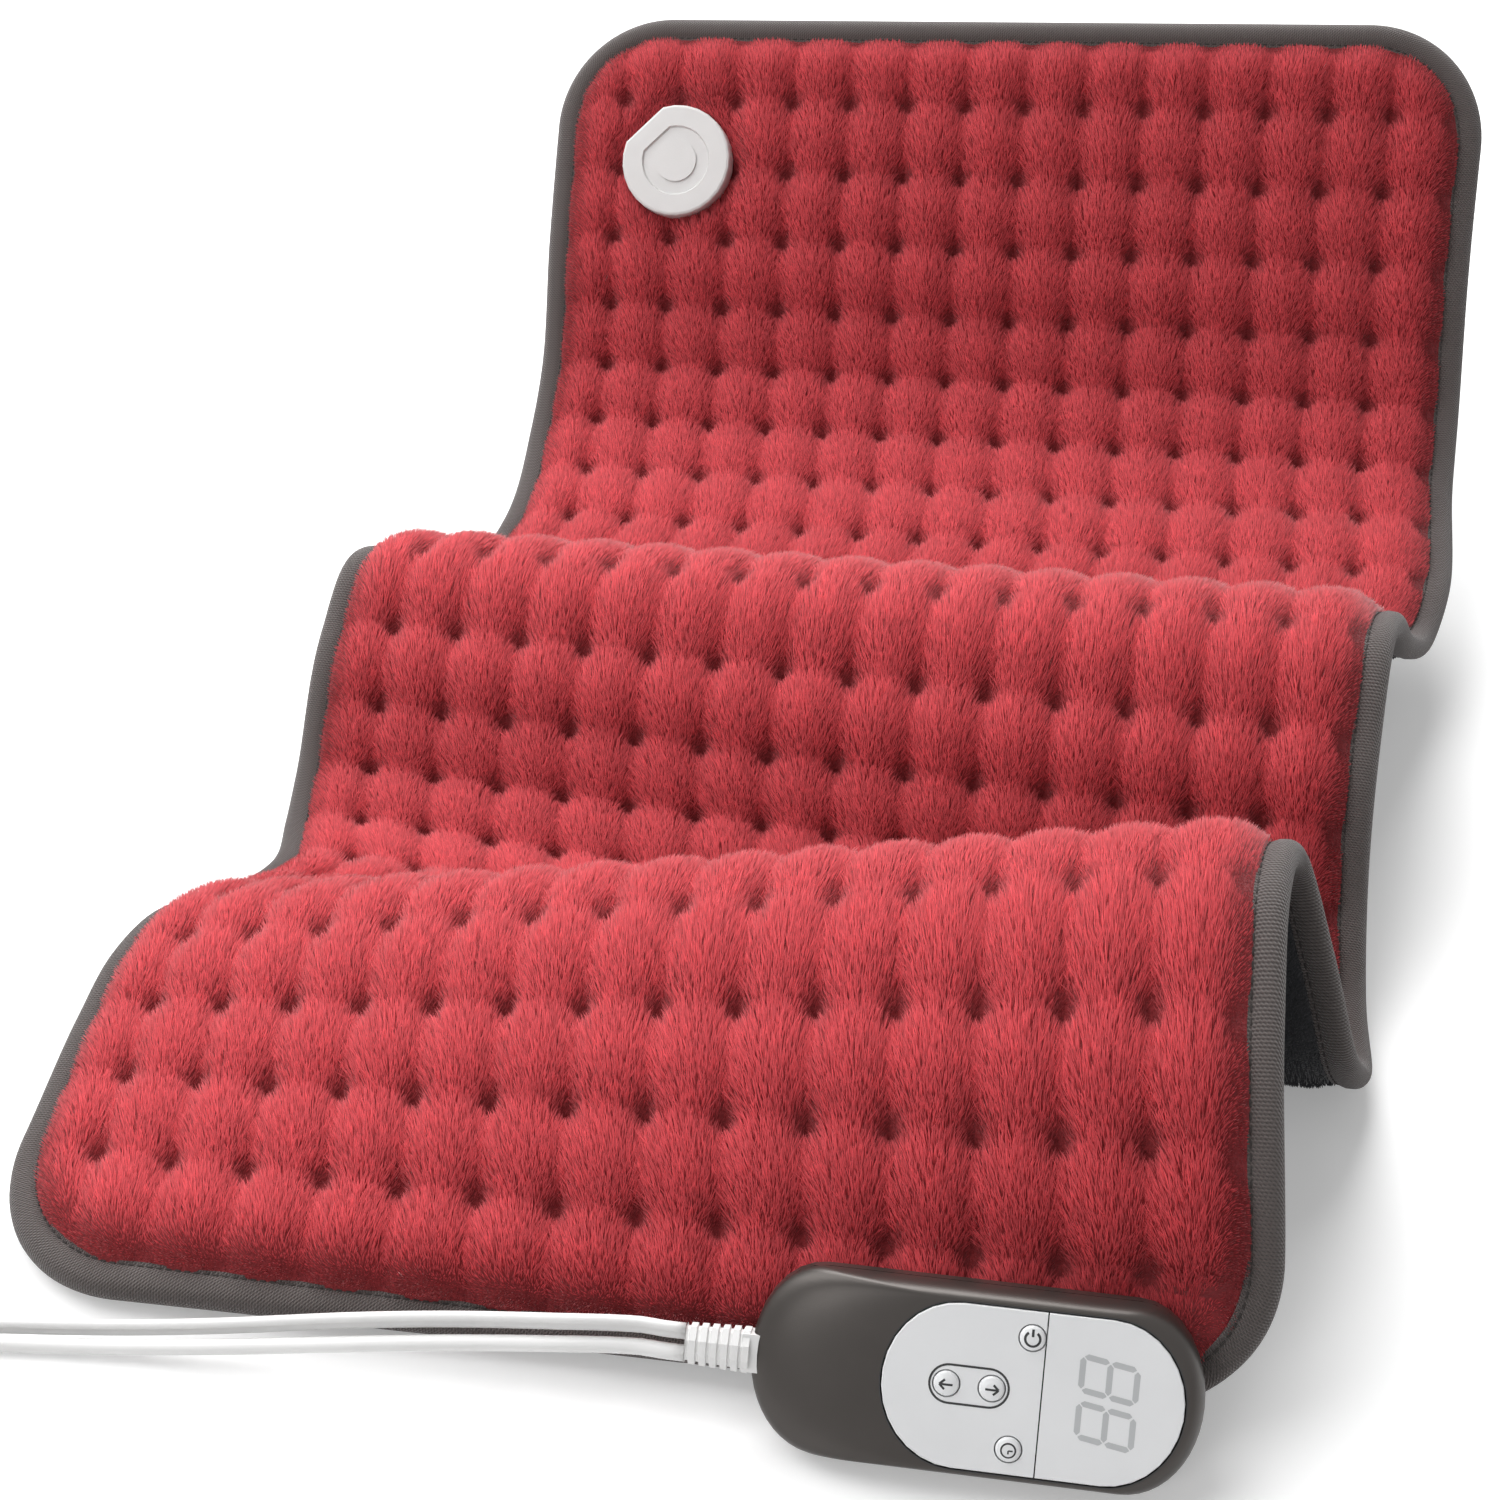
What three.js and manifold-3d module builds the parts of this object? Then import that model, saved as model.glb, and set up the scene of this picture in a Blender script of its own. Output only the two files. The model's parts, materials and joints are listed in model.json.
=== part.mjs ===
// A heating pad with a tufted plush face, laid in two folds, and its wired hand control.
// Millimetres, X to the right, Y away from the viewer, Z up.
import * as THREE from "three";
import { mergeVertices } from "three/addons/utils/BufferGeometryUtils.js";
import Module from "manifold-3d";

const wasm = await Module();
wasm.setup();

// Clearance between pieces that touch.
const gap = 0.3;

// Pad, measured flat. Heights are distances from the sheet that the pad follows, plush side up.
const padWidth = 305;
const padLength = 612;
const cornerRadius = 38;
const bindingWidth = 8.5;
const bindingTop = 4.2;
const bindingBottom = -3.3;
const bindingCloth = 0.9;
const bindingFold = 2.4;
const bindingRound = 1.5;
const layerInset = 3;
const plushBottom = 2.3;
const tuftHeight = 4.6;
const puffHeight = 10;
const tuftFirstAcross = 24.5;
const tuftFirstAlong = 31;
const tuftPitchAcross = 19.35;
const tuftPitchAlong = 23.9;
const carrierInset = 5;
const carrierTop = 0.2;
const carrierThickness = 0.8;
const layerGap = 0.8;
const backThickness = 3.6;
const backRise = 5;
// Columns of the layers under the plush, and the steps that round the pad's corners.
const layerColumns = 2;
const endColumns = 6;
const cornerAngles = [0, 20, 40, 60];
// Layers keep a half row of tufts only where the pad turns more than this, in degrees.
const leastBend = 7;

// Heating wire and temperature sensors.
const wireDiameter = 1;
const wireSides = 4;
const wireMargin = 26;
const wireReturnInset = 8;
const wireFirstRow = 1;
const wireClearance = 2;
const sensorLength = 8;
const sensorWidth = 5;
const sensorThickness = 1;
// Each sensor's distance from the left side, and its row of tufts.
const sensorPlaces = { front: [205, 10], back: [100, 18] };

// Pad connector.
const connectorAcross = 45;
const connectorAlong = 561;
const connectorTurnAngle = 45;
// The plush is pressed flat this far round the connector.
const connectorPress = 15.5;
const connectorRadius = 18.5;
const connectorFlat = 16.5;
const connectorThickness = 7;
const connectorSeat = 5.2;
const neckRadius = 6.7;
const baseRadius = 17;
const baseThickness = 2.6;
const baseChamfer = 1.2;
const recessRadius = 11.6;
const recessFlat = 10;
const recessDepth = 0.8;
const recessSlope = 0.5;
const bossDrop = 0.2;
const connectorChamfer = 0.9;
const bossRadius = 7;
const socketWidth = 12;
const socketHeight = 3.4;
const socketDepth = 8;
const contactCount = 3;
const contactPitch = 3.4;
const contactWidth = 1.4;
const contactThickness = 0.7;
const socketFloor = 0.9;
const contactInset = 1;

// Hand control. Its own X runs along it, Y across it and Z out of its face.
const handsetLength = 99;
const halfLength = handsetLength / 2;
const handsetWidth = 42;
const handsetThickness = 14;
const handsetEnd = 15.5;
const handsetWall = 2;
const handsetSteps = 15;
const postRadius = 1.8;
const postInset = 4;
const partingHeight = 7;
const handsetLean = 55;
const handsetTurn = 4;
const handsetPlace = new THREE.Vector3(68, -1.5, 19.8);
const plateMargin = { left: 29.3, right: 4.7 };
const plateLeft = -halfLength + plateMargin.left;
const plateRight = halfLength - plateMargin.right;
const plateWidth = 36.5;
const plateEnd = 16.5;
const plateThickness = 0.7;
const plateProud = 0.2;
const plateSplit = 14.3;
const faceWall = 1.6;
const buttonRadius = 2.8;
const buttonFlange = 3.7;
const buttonFlangeThickness = 0.8;
const buttonDome = 0.9;
const buttonTravel = 0.5;
const buttonPlaces = {
  power: [11.3, 12.4],
  cooler: [-6.2, 0.3],
  warmer: [3.6, 0.3],
  timer: [8.3, -12.6],
};
const boardMargins = 35;
const boardLength = handsetLength - boardMargins;
const boardWidth = 31;
const boardThickness = 1.6;
const boardCentre = 2;
const boardHeight = 5.8;
const switchSize = 5;
const switchThickness = 1.6;
const plungerRadius = 1.5;
const powerInset = 2;
const powerLength = 10;
const triacSides = [-9, -1];
const triacHeight = 2.6;
const fuseSides = [3, 7];
const fuseHeight = 2.8;
const displayInset = 3.2;
const displayClearance = 0.8;
const displayWidth = 22;
const screwInset = 7;
const bossClearance = 1;
const screwRadius = 1.3;
const screwHeadRadius = 2.6;
const screwHeadThickness = 1.8;
const bossWall = 1.6;
const reliefLength = 14.3;
const reliefInside = 4;
const reliefWidth = 10.5;
const reliefThickness = 7;
const reliefEndShare = 0.88;
const reliefRibs = 6;

// Leads. The mains lead is a flat twin cord that stands on its edge.
const padLeadDiameter = 3.7;
const mainsLeadWidth = 4.6;
const mainsLeadThickness = 2.4;
const leadsApart = 5;
const padLeadRoute = [
  [-6, -13.2, 21.3], [-25, -15.6, 20], [-50, -18.6, 17.2], [-75, -21.6, 13.4], [-100, -24.8, 9.6],
  [-125, -28.2, 6.8], [-148, -31.6, 5.6], [-168, -35, 6], [-184, -37.4, 6.6],
];
const mainsLeadRoute = [
  [-6, -10.3, 25.4], [-25, -12.3, 23.8], [-50, -14.6, 20.6], [-75, -17.4, 16.6], [-100, -20.6, 12],
  [-125, -24, 8.6], [-148, -27.4, 7], [-168, -30.6, 6.7], [-186, -32.8, 7.1],
];
const padCoilCentre = [-204, -64.2];
const padCoilRadius = 25.6;
const padCoilTurns = 5.25;
const mainsCoilCentre = [-216, 0];
const mainsCoilRadius = 33;
const mainsCoilTurns = 9.25;
const coilSpacing = 0.6;
const coilLift = 1.7;
const coilStepsPerTurn = 24;
const tieWidth = 6;
const tieThickness = 1;
const tieClearance = 0.6;
const tieAngle = 60;
const leadStep = 2.2;
const coilStraight = 6;
const padTail = 14;
const mainsTail = 20;

// Plugs at the far ends of the leads.
const plugLength = 30;
const plugWidth = 25;
const plugThickness = 17;
const plugRelief = { length: 24, width: 9, height: 8, endShare: 0.75, ribs: 8 };
const bladeLength = 17;
const bladeWidth = 6.4;
const bladeThickness = 1.5;
const bladeSpacing = 12.7;
const bladeRoot = 6;
const padPlugLength = 20;
const padPlugWidth = 15;
const padPlugThickness = 9;
const padPlugRelief = { length: 14, width: 7, height: 6.4, endShare: 0.8, ribs: 5 };
const padPlugTongue = 7.4;
const padPlugTongueWidth = 11.2;
const padPlugTongueThickness = 2.6;

// How the pad lies: for each distance from its front edge, a point of its left and of its right edge.
const drape = [
  [0, [-171, -20, 8], [134, 4, 9]],
  [31, [-171, 14, 10], [131, 18, 38]],
  [79, [-173, 58, 15], [124, 60, 77]],
  [102, [-172, 77, 18], [122, 89, 89]],
  [126, [-168, 95, 17], [125, 112, 82]],
  [150, [-161, 108, 12], [135, 107, 56]],
  [174, [-152, 120, 9], [143, 102, 29]],
  [198, [-148, 134, 8], [151, 115, 11]],
  [222, [-153, 150, 9], [152, 137, 12]],
  [246, [-156, 167, 15], [151, 157, 23]],
  [294, [-158, 201, 40], [149, 192, 54]],
  [318, [-156, 223, 50], [149, 218, 69]],
  [342, [-151, 243, 38], [153, 241, 62]],
  [366, [-145, 261, 22], [159, 258, 44]],
  [390, [-138, 281, 12], [166, 278, 31]],
  [414, [-133, 302, 15], [170, 300, 34]],
  [461, [-135, 342, 29], [171, 344, 46]],
  [485, [-136, 359, 42], [171, 362, 59]],
  [533, [-138, 386, 77], [167, 390, 95]],
  [612, [-141, 433, 137], [163, 433, 161]],
];

// Finishes.
const finish = (color, roughness, metalness = 0) =>
  new THREE.MeshStandardMaterial({ color, roughness, metalness });
const plushFinish = finish(0xa3202f, 0.95);
const backFinish = finish(0x38363a, 0.95);
const bindingFinish = finish(0x6b625e, 0.9);
const feltFinish = finish(0xd9d4c8, 0.95);
const wireFinish = finish(0xb8b4ac, 0.6);
const whiteFinish = finish(0xececec, 0.5);
const bodyFinish = finish(0x5a5450, 0.4, 0.3);
const plateFinish = finish(0xd8dadd, 0.45);
const boardFinish = finish(0x1f5a34, 0.6);
const blackFinish = finish(0x1c1c1e, 0.5);
const steelFinish = finish(0xb9bcc0, 0.3, 1);
const brassFinish = finish(0xc9a95a, 0.3, 1);
const tieFinish = finish(0x2a2a2c, 0.7);

const vector = (x, y, z) => new THREE.Vector3(x, y, z);

// Triangles of one closed surface, collected as points.
class Faces {
  constructor() {
    this.positions = [];
  }

  triangle(a, b, c) {
    for (const point of [a, b, c]) this.positions.push(point.x, point.y, point.z);
  }

  // Joins two rows of points whose keys rise along them, whatever their counts.
  zip(lower, upper, key, flip = false) {
    const face = (a, b, c) => (flip ? this.triangle(a, c, b) : this.triangle(a, b, c));
    const keyAt = (row, i) => (i < row.length ? key(row[i]) : Infinity);
    let i = 0;
    let j = 0;
    while (i < lower.length - 1 || j < upper.length - 1) {
      if (keyAt(lower, i + 1) <= keyAt(upper, j + 1)) {
        face(lower[i], lower[i + 1], upper[j]);
        i += 1;
      } else {
        face(lower[i], upper[j + 1], upper[j]);
        j += 1;
      }
    }
  }

  // Joins two rings of equal counts, the second one further on.
  band(ring, next) {
    ring.forEach((point, i) => {
      const k = (i + 1) % ring.length;
      this.triangle(point, ring[k], next[k]);
      this.triangle(point, next[k], next[i]);
    });
  }

  cap(ring, flip) {
    for (let i = 1; i < ring.length - 1; i++) {
      if (flip) this.triangle(ring[0], ring[i + 1], ring[i]);
      else this.triangle(ring[0], ring[i], ring[i + 1]);
    }
  }

  geometry() {
    const attribute = new THREE.Float32BufferAttribute(this.positions, 3);
    return new THREE.BufferGeometry().setAttribute("position", attribute);
  }
}

// A solid through rings, each counter-clockwise seen from the end that the loft runs to.
function loft(rings, closed = false) {
  const faces = new Faces();
  const count = closed ? rings.length : rings.length - 1;
  for (let i = 0; i < count; i++) faces.band(rings[i], rings[(i + 1) % rings.length]);
  if (!closed) {
    faces.cap(rings[0], true);
    faces.cap(rings.at(-1), false);
  }
  return faces.geometry();
}

// A section carried along points, with its own Y kept towards the upward direction at each point.
function sweep(points, section, upAt) {
  const rings = points.map((point, i) => {
    const before = points[Math.max(i - 1, 0)];
    const after = points[Math.min(i + 1, points.length - 1)];
    const forward = after.clone().sub(before).normalize();
    const up = upAt(i).clone();
    up.addScaledVector(forward, -up.dot(forward)).normalize();
    const side = up.clone().cross(forward);
    return section.map(([x, y]) => point.clone().addScaledVector(side, x).addScaledVector(up, y));
  });
  return loft(rings);
}

const circle = (radius, sides) =>
  Array.from({ length: sides }, (_, i) => {
    const angle = (2 * Math.PI * (i + 0.5)) / sides;
    return [radius * Math.cos(angle), radius * Math.sin(angle)];
  });

// Booleans.
function solid(geometry) {
  const bare = geometry.index ? geometry.toNonIndexed() : geometry.clone();
  bare.deleteAttribute("normal");
  bare.deleteAttribute("uv");
  const merged = mergeVertices(bare, 1e-4);
  const triVerts = new Uint32Array(merged.index.array);
  const vertProperties = merged.attributes.position.array;
  return new wasm.Manifold(new wasm.Mesh({ numProp: 3, vertProperties, triVerts }));
}

function geometryOf(body) {
  const mesh = body.getMesh();
  return new THREE.BufferGeometry()
    .setAttribute("position", new THREE.BufferAttribute(mesh.vertProperties, 3))
    .setIndex(new THREE.BufferAttribute(mesh.triVerts, 1));
}

const cut = (base, ...tools) =>
  geometryOf(tools.reduce((body, tool) => body.subtract(solid(tool)), solid(base)));
const join = (...pieces) =>
  geometryOf(pieces.slice(1).reduce((body, piece) => body.add(solid(piece)), solid(pieces[0])));

function box(x0, x1, y0, y1, z0, z1) {
  const geometry = new THREE.BoxGeometry(x1 - x0, y1 - y0, z1 - z0);
  return geometry.translate((x0 + x1) / 2, (y0 + y1) / 2, (z0 + z1) / 2);
}

function rod(radius, x, y, z0, z1, sides = 20) {
  const geometry = new THREE.CylinderGeometry(radius, radius, z1 - z0, sides);
  return geometry.rotateX(Math.PI / 2).translate(x, y, (z0 + z1) / 2);
}

// Outlines of the same form at several heights, as [height, inset] pairs.
const stack = (outline, levels) =>
  loft(levels.map(([height, inset]) => outline(inset).map(([x, y]) => vector(x, y, height))));

// Straight sides with half ellipses for ends.
function oblong(x0, x1, width, end, steps = handsetSteps) {
  const points = [];
  for (const [centre, turn] of [[x1 - end, -Math.PI / 2], [x0 + end, Math.PI / 2]]) {
    for (let i = 0; i <= steps; i++) {
      const angle = turn + (Math.PI * i) / steps;
      points.push([centre + end * Math.cos(angle), (width / 2) * Math.sin(angle)]);
    }
  }
  return points;
}

const part = new THREE.Group();
const cords = new THREE.Group();
const standing = new THREE.Group();
part.add(standing, cords);

function add(group, name, geometry, material) {
  const mesh = new THREE.Mesh(geometry, material);
  mesh.name = name;
  group.add(mesh);
  return mesh;
}

// The draped sheet.
const stops = drape.map(([along]) => along);
const leftEdge = drape.map(([, left]) => vector(...left));
const rightEdge = drape.map(([, , right]) => vector(...right));

function edgeSlope(points, i) {
  const before = Math.max(i - 1, 0);
  const after = Math.min(i + 1, points.length - 1);
  const back = stops[i] - stops[before] || stops[after] - stops[i];
  const ahead = stops[after] - stops[i] || back;
  const rise = points[after].clone().sub(points[i]);
  const fall = points[i].clone().sub(points[before]);
  if (before === i) return rise.divideScalar(ahead);
  if (after === i) return fall.divideScalar(back);
  rise.multiplyScalar(back / (ahead * (back + ahead)));
  return rise.addScaledVector(fall, ahead / (back * (back + ahead)));
}

const leftSlope = leftEdge.map((_, i) => edgeSlope(leftEdge, i));
const rightSlope = rightEdge.map((_, i) => edgeSlope(rightEdge, i));

function edgePoint(points, slopes, along) {
  const last = stops.length - 1;
  if (along <= stops[0]) return points[0].clone().addScaledVector(slopes[0], along - stops[0]);
  if (along >= stops[last]) {
    return points[last].clone().addScaledVector(slopes[last], along - stops[last]);
  }
  const i = stops.findIndex((stop) => stop > along) - 1;
  const span = stops[i + 1] - stops[i];
  const t = (along - stops[i]) / span;
  return vector(0, 0, 0)
    .addScaledVector(points[i], (1 + 2 * t) * (1 - t) ** 2)
    .addScaledVector(slopes[i], span * t * (1 - t) ** 2)
    .addScaledVector(points[i + 1], t * t * (3 - 2 * t))
    .addScaledVector(slopes[i + 1], span * t * t * (t - 1));
}

function sheetPoint(across, along) {
  const left = edgePoint(leftEdge, leftSlope, along);
  const right = edgePoint(rightEdge, rightSlope, along);
  const sideways = right.clone().sub(left).normalize();
  return left.add(right).multiplyScalar(0.5).addScaledVector(sideways, across - padWidth / 2);
}

function sheetFrame(across, along) {
  const step = 0.5;
  const x = sheetPoint(across + step, along).sub(sheetPoint(across - step, along)).normalize();
  const y = sheetPoint(across, along + step).sub(sheetPoint(across, along - step));
  const z = x.clone().cross(y).normalize();
  return new THREE.Matrix4()
    .makeBasis(x, z.clone().cross(x), z)
    .setPosition(sheetPoint(across, along));
}

const draped = (flat) => vector(0, 0, flat.z).applyMatrix4(sheetFrame(flat.x, flat.y));

// Bends a solid made flat, across along X and along the pad on Y, to the way the pad lies.
function drapeSolid(geometry) {
  const place = geometry.attributes.position;
  for (let i = 0; i < place.count; i++) {
    const point = draped(vector(place.getX(i), place.getY(i), place.getZ(i)));
    place.setXYZ(i, point.x, point.y, point.z);
  }
  return geometry;
}

// Where the hand control leans on the pad's front.
function handsetFrame() {
  const turn = THREE.MathUtils.degToRad(handsetTurn);
  const lean = THREE.MathUtils.degToRad(handsetLean);
  const x = vector(Math.cos(turn), Math.sin(turn), 0);
  const back = vector(-Math.sin(turn), Math.cos(turn), 0);
  const y = back.clone().multiplyScalar(Math.cos(lean)).setZ(Math.sin(lean));
  return new THREE.Matrix4().makeBasis(x, y, x.clone().cross(y)).setPosition(handsetPlace);
}

const handsetMatrix = handsetFrame();

// Tufts, and the rows that every layer shares: tuft rows, half rows and the corners' rows.
const tuftLastAcross = padWidth - bindingWidth - tuftPitchAcross / 2;
const tuftColumns = Math.floor((tuftLastAcross - tuftFirstAcross) / tuftPitchAcross) + 1;
const tuftRows = Math.floor((padLength - 2 * tuftFirstAlong) / tuftPitchAlong) + 1;
const halfRows = Array.from(
  { length: 2 * tuftRows - 1 },
  (_, i) => tuftFirstAlong + (i * tuftPitchAlong) / 2,
);

// How far the pad turns, at its edges, from half a tuft before a place to half a tuft after it.
function bendAt(along) {
  const turns = [0, padWidth].map((across) => {
    const at = (step) => sheetPoint(across, along + (step * tuftPitchAlong) / 2);
    return at(0).sub(at(-1)).angleTo(at(1).sub(at(0)));
  });
  return Math.max(...turns);
}

// Layers under the plush leave out the half rows of straight stretches.
const layerStops = halfRows.filter((along, i) => {
  const tuftRow = i % 2 === 0;
  return tuftRow || THREE.MathUtils.radToDeg(bendAt(along)) > leastBend;
});

function layerRows(inset) {
  const ends = cornerAngles.map((angle) => {
    const turn = THREE.MathUtils.degToRad(angle);
    return inset + (cornerRadius - inset) * (1 - Math.cos(turn));
  });
  return [...ends, ...layerStops, ...ends.map((along) => padLength - along).reverse()];
}

// How far a layer's side lies from the pad's side, with the corners rounded.
function sideInset(inset, along) {
  const reach = Math.max(cornerRadius - Math.min(along, padLength - along), 0);
  return cornerRadius - Math.sqrt(Math.max((cornerRadius - inset) ** 2 - reach ** 2, 0));
}

// A point bent with the flat stretch between the two rows that it lies between.
function drapedOnRows(flat) {
  const next = layerStops.findIndex((along) => along >= flat.y);
  if (next < 1) return draped(flat);
  const share = (flat.y - layerStops[next - 1]) / (layerStops[next] - layerStops[next - 1]);
  const from = draped(flat.clone().setY(layerStops[next - 1]));
  return from.lerp(draped(flat.clone().setY(layerStops[next])), share);
}

function layerGrid(inset, height) {
  return layerRows(inset).map((along, i, rows) => {
    const columns = i === 0 || i === rows.length - 1 ? endColumns : layerColumns;
    const edge = sideInset(inset, along);
    const row = [];
    for (let k = 0; k <= columns; k++) {
      row.push(vector(edge + ((padWidth - 2 * edge) * k) / columns, along, height));
    }
    return row;
  });
}

const acrossKey = (point) => point.x;

function gridFaces(faces, rows, flip = false) {
  for (let i = 0; i < rows.length - 1; i++) faces.zip(rows[i], rows[i + 1], acrossKey, flip);
}

// The outline of rows of points, counter-clockwise seen from the plush side.
function outlineOf(rows) {
  const rights = rows.slice(1, -1).map((row) => row.at(-1));
  const lefts = rows.slice(1, -1).map((row) => row[0]);
  return [...rows[0], ...rights, ...rows.at(-1).slice().reverse(), ...lefts.reverse()];
}

// Joins an outer and an inner outline by the places on the pad's edge that they lie nearest to.
function ringFaces(faces, outer, inner, flip = false) {
  const turnOf = (point) => {
    const edge = movedTo(point, 0, 0);
    return Math.atan2(edge.y - padLength / 2, edge.x - padWidth / 2);
  };
  const sorted = (ring) => {
    const turned = ring.slice().sort((a, b) => turnOf(a) - turnOf(b));
    const again = turned[0].clone();
    again.fullTurn = true;
    return [...turned, again];
  };
  const key = (point) => turnOf(point) + (point.fullTurn ? 2 * Math.PI : 0);
  faces.zip(sorted(outer), sorted(inner), key, flip);
}

// A point of an outline moved square to the pad's edge, to a distance from it.
function movedTo(point, inset, height) {
  const middle = vector(padWidth / 2, padLength / 2, 0);
  const straight = middle.clone().subScalar(cornerRadius);
  const offset = point.clone().sub(middle);
  const foot = vector(
    THREE.MathUtils.clamp(offset.x, -straight.x, straight.x),
    THREE.MathUtils.clamp(offset.y, -straight.y, straight.y),
    0,
  );
  const outward = vector(offset.x - foot.x, offset.y - foot.y, 0);
  if (outward.lengthSq() === 0) {
    const side = straight.x - Math.abs(offset.x) < straight.y - Math.abs(offset.y) ? "x" : "y";
    outward[side] = Math.sign(offset[side]);
    foot[side] = outward[side] * straight[side];
  }
  outward.setLength(cornerRadius - inset);
  return middle.add(foot).add(outward).setZ(height);
}

// The plush face: low at each tuft, high between them, drawn down to the binding at its edge.
function plushCover() {
  const faces = new Faces();
  const slotTop = bindingTop - bindingCloth - gap;
  const pressedRadius = connectorRadius + connectorPress;
  const rows = halfRows.map((along, i) => {
    const tuftRow = i % 2 === 0;
    const row = [];
    for (let k = 0; k <= 2 * (tuftColumns - 1); k++) {
      const atTuft = k % 2 === 0;
      if (atTuft && !tuftRow) continue;
      const across = tuftFirstAcross + (k * tuftPitchAcross) / 2;
      const fromConnector = Math.hypot(across - connectorAcross, along - connectorAlong);
      const most = fromConnector < pressedRadius ? connectorSeat - gap : puffHeight;
      row.push(vector(across, along, atTuft ? tuftHeight : most));
    }
    return row;
  });
  const bottom = layerGrid(layerInset, plushBottom);
  const bottomEdge = outlineOf(bottom);
  const lip = bottomEdge.map((point) => movedTo(point, bindingWidth + gap, slotTop));
  gridFaces(faces, rows);
  ringFaces(faces, lip, outlineOf(rows));
  ringFaces(faces, bottomEdge, lip);
  gridFaces(faces, bottom, true);
  return pressBehindHandset(drapeSolid(faces.geometry()));
}

// Moves what would reach into the hand control back to just behind it.
function pressBehindHandset(geometry) {
  const reach = tuftPitchAlong / 2;
  const toHandset = handsetMatrix.clone().invert();
  geometry.applyMatrix4(toHandset);
  const place = geometry.attributes.position;
  for (let i = 0; i < place.count; i++) {
    const aside = Math.abs(place.getX(i)) > handsetLength / 2 + reach;
    const above = Math.abs(place.getY(i)) > handsetWidth / 2 + reach;
    if (!aside && !above) place.setZ(i, Math.min(place.getZ(i), -gap));
  }
  return geometry.applyMatrix4(handsetMatrix);
}

function wireCarrier() {
  const faces = new Faces();
  const top = layerGrid(carrierInset, carrierTop);
  const bottom = layerGrid(carrierInset, carrierTop - carrierThickness);
  gridFaces(faces, top);
  ringFaces(faces, outlineOf(bottom), outlineOf(top));
  gridFaces(faces, bottom, true);
  return drapeSolid(faces.geometry());
}

// The back cover is thin in the binding and stands out behind it.
function backCover() {
  const faces = new Faces();
  const topHeight = carrierTop - carrierThickness - layerGap;
  const top = layerGrid(layerInset, topHeight);
  const topEdge = outlineOf(top);
  const slotBottom = bindingBottom + bindingCloth + gap;
  const lip = topEdge.map((point) => movedTo(point, bindingWidth + gap, slotBottom));
  const bottom = layerGrid(bindingWidth + backRise, topHeight - backThickness);
  gridFaces(faces, top);
  ringFaces(faces, topEdge, lip, true);
  ringFaces(faces, lip, outlineOf(bottom), true);
  gridFaces(faces, bottom, true);
  return drapeSolid(faces.geometry());
}

// The binding folds round the edge of all layers, once round the pad.
function edgeBinding() {
  const round = bindingRound;
  const section = [
    [0, (bindingTop + bindingBottom) / 2],
    [round, bindingBottom + round / 2],
    [bindingWidth, bindingBottom],
    [bindingWidth, bindingBottom + bindingCloth],
    [bindingFold, bindingBottom + bindingCloth],
    [bindingFold, bindingTop - bindingCloth],
    [bindingWidth, bindingTop - bindingCloth],
    [bindingWidth, bindingTop],
    [round, bindingTop - round / 2],
  ];
  const outline = outlineOf(layerGrid(bindingWidth, 0));
  const rings = outline.map((point) => section.map(([inset, height]) => movedTo(point, inset, height)));
  return drapeSolid(loft(rings, true));
}

// One wire: from the connector, to and fro across the pad to its front, and back along the left side.
function heatingWire() {
  const height = carrierTop + layerGap + wireDiameter / 2;
  const turn = tuftPitchAlong / 2;
  const right = padWidth - wireMargin;
  const flat = [];
  const passAlong = (row) => tuftFirstAlong + (row + 0.5) * tuftPitchAlong;
  let row = tuftRows - 2;
  let toRight = true;
  while (row >= wireFirstRow) {
    const [side, end] = toRight ? [wireMargin, right] : [right, wireMargin];
    const start = row === tuftRows - 2 ? connectorAcross + neckRadius + wireClearance : side;
    flat.push([start, passAlong(row)], [padWidth / 2, passAlong(row)], [end, passAlong(row)]);
    if (row > wireFirstRow) {
      for (const angle of [45, 90, 135]) {
        const swing = THREE.MathUtils.degToRad(angle);
        const reach = (toRight ? 1 : -1) * turn * Math.sin(swing);
        flat.push([end + reach, passAlong(row) - turn + turn * Math.cos(swing)]);
      }
    }
    toRight = !toRight;
    row -= 1;
  }
  const returns = layerStops.filter((along) => along > passAlong(wireFirstRow) && along < connectorAlong);
  flat.push([wireReturnInset + turn / 2, passAlong(wireFirstRow) + turn / 4]);
  for (const along of returns) flat.push([wireReturnInset, along]);
  flat.push([wireReturnInset + turn / 2, connectorAlong]);
  flat.push([connectorAcross - neckRadius - wireClearance, connectorAlong]);
  const points = flat.map(([across, along]) => drapedOnRows(vector(across, along, height)));
  const normals = flat.map(([across, along]) => {
    return vector(0, 0, 1).transformDirection(sheetFrame(across, along));
  });
  return sweep(points, circle(wireDiameter / 2, wireSides), (i) => normals[i]);
}

function sensor(across, row) {
  const along = tuftFirstAlong + row * tuftPitchAlong;
  const bottom = carrierTop + layerGap;
  const block = box(
    across - sensorLength / 2,
    across + sensorLength / 2,
    along - sensorWidth / 2,
    along + sensorWidth / 2,
    bottom,
    bottom + sensorThickness,
  );
  return drapeSolid(block);
}

// Connector pieces are made in its own frame: X across, Y along and Z out of the pad.
const connectorFrame = sheetFrame(connectorAcross, connectorAlong);
const connectorTurn = new THREE.Matrix4().makeRotationZ(
  THREE.MathUtils.degToRad(connectorTurnAngle),
);

// A disc with one flat, which faces +Y.
function flatDisc(radius, flat, steps = 24) {
  const start = Math.PI - Math.asin(flat / radius);
  const sweepAngle = Math.PI + 2 * Math.asin(flat / radius);
  return Array.from({ length: steps + 1 }, (_, i) => {
    const angle = start + (sweepAngle * i) / steps;
    return [radius * Math.cos(angle), radius * Math.sin(angle)];
  });
}

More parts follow.
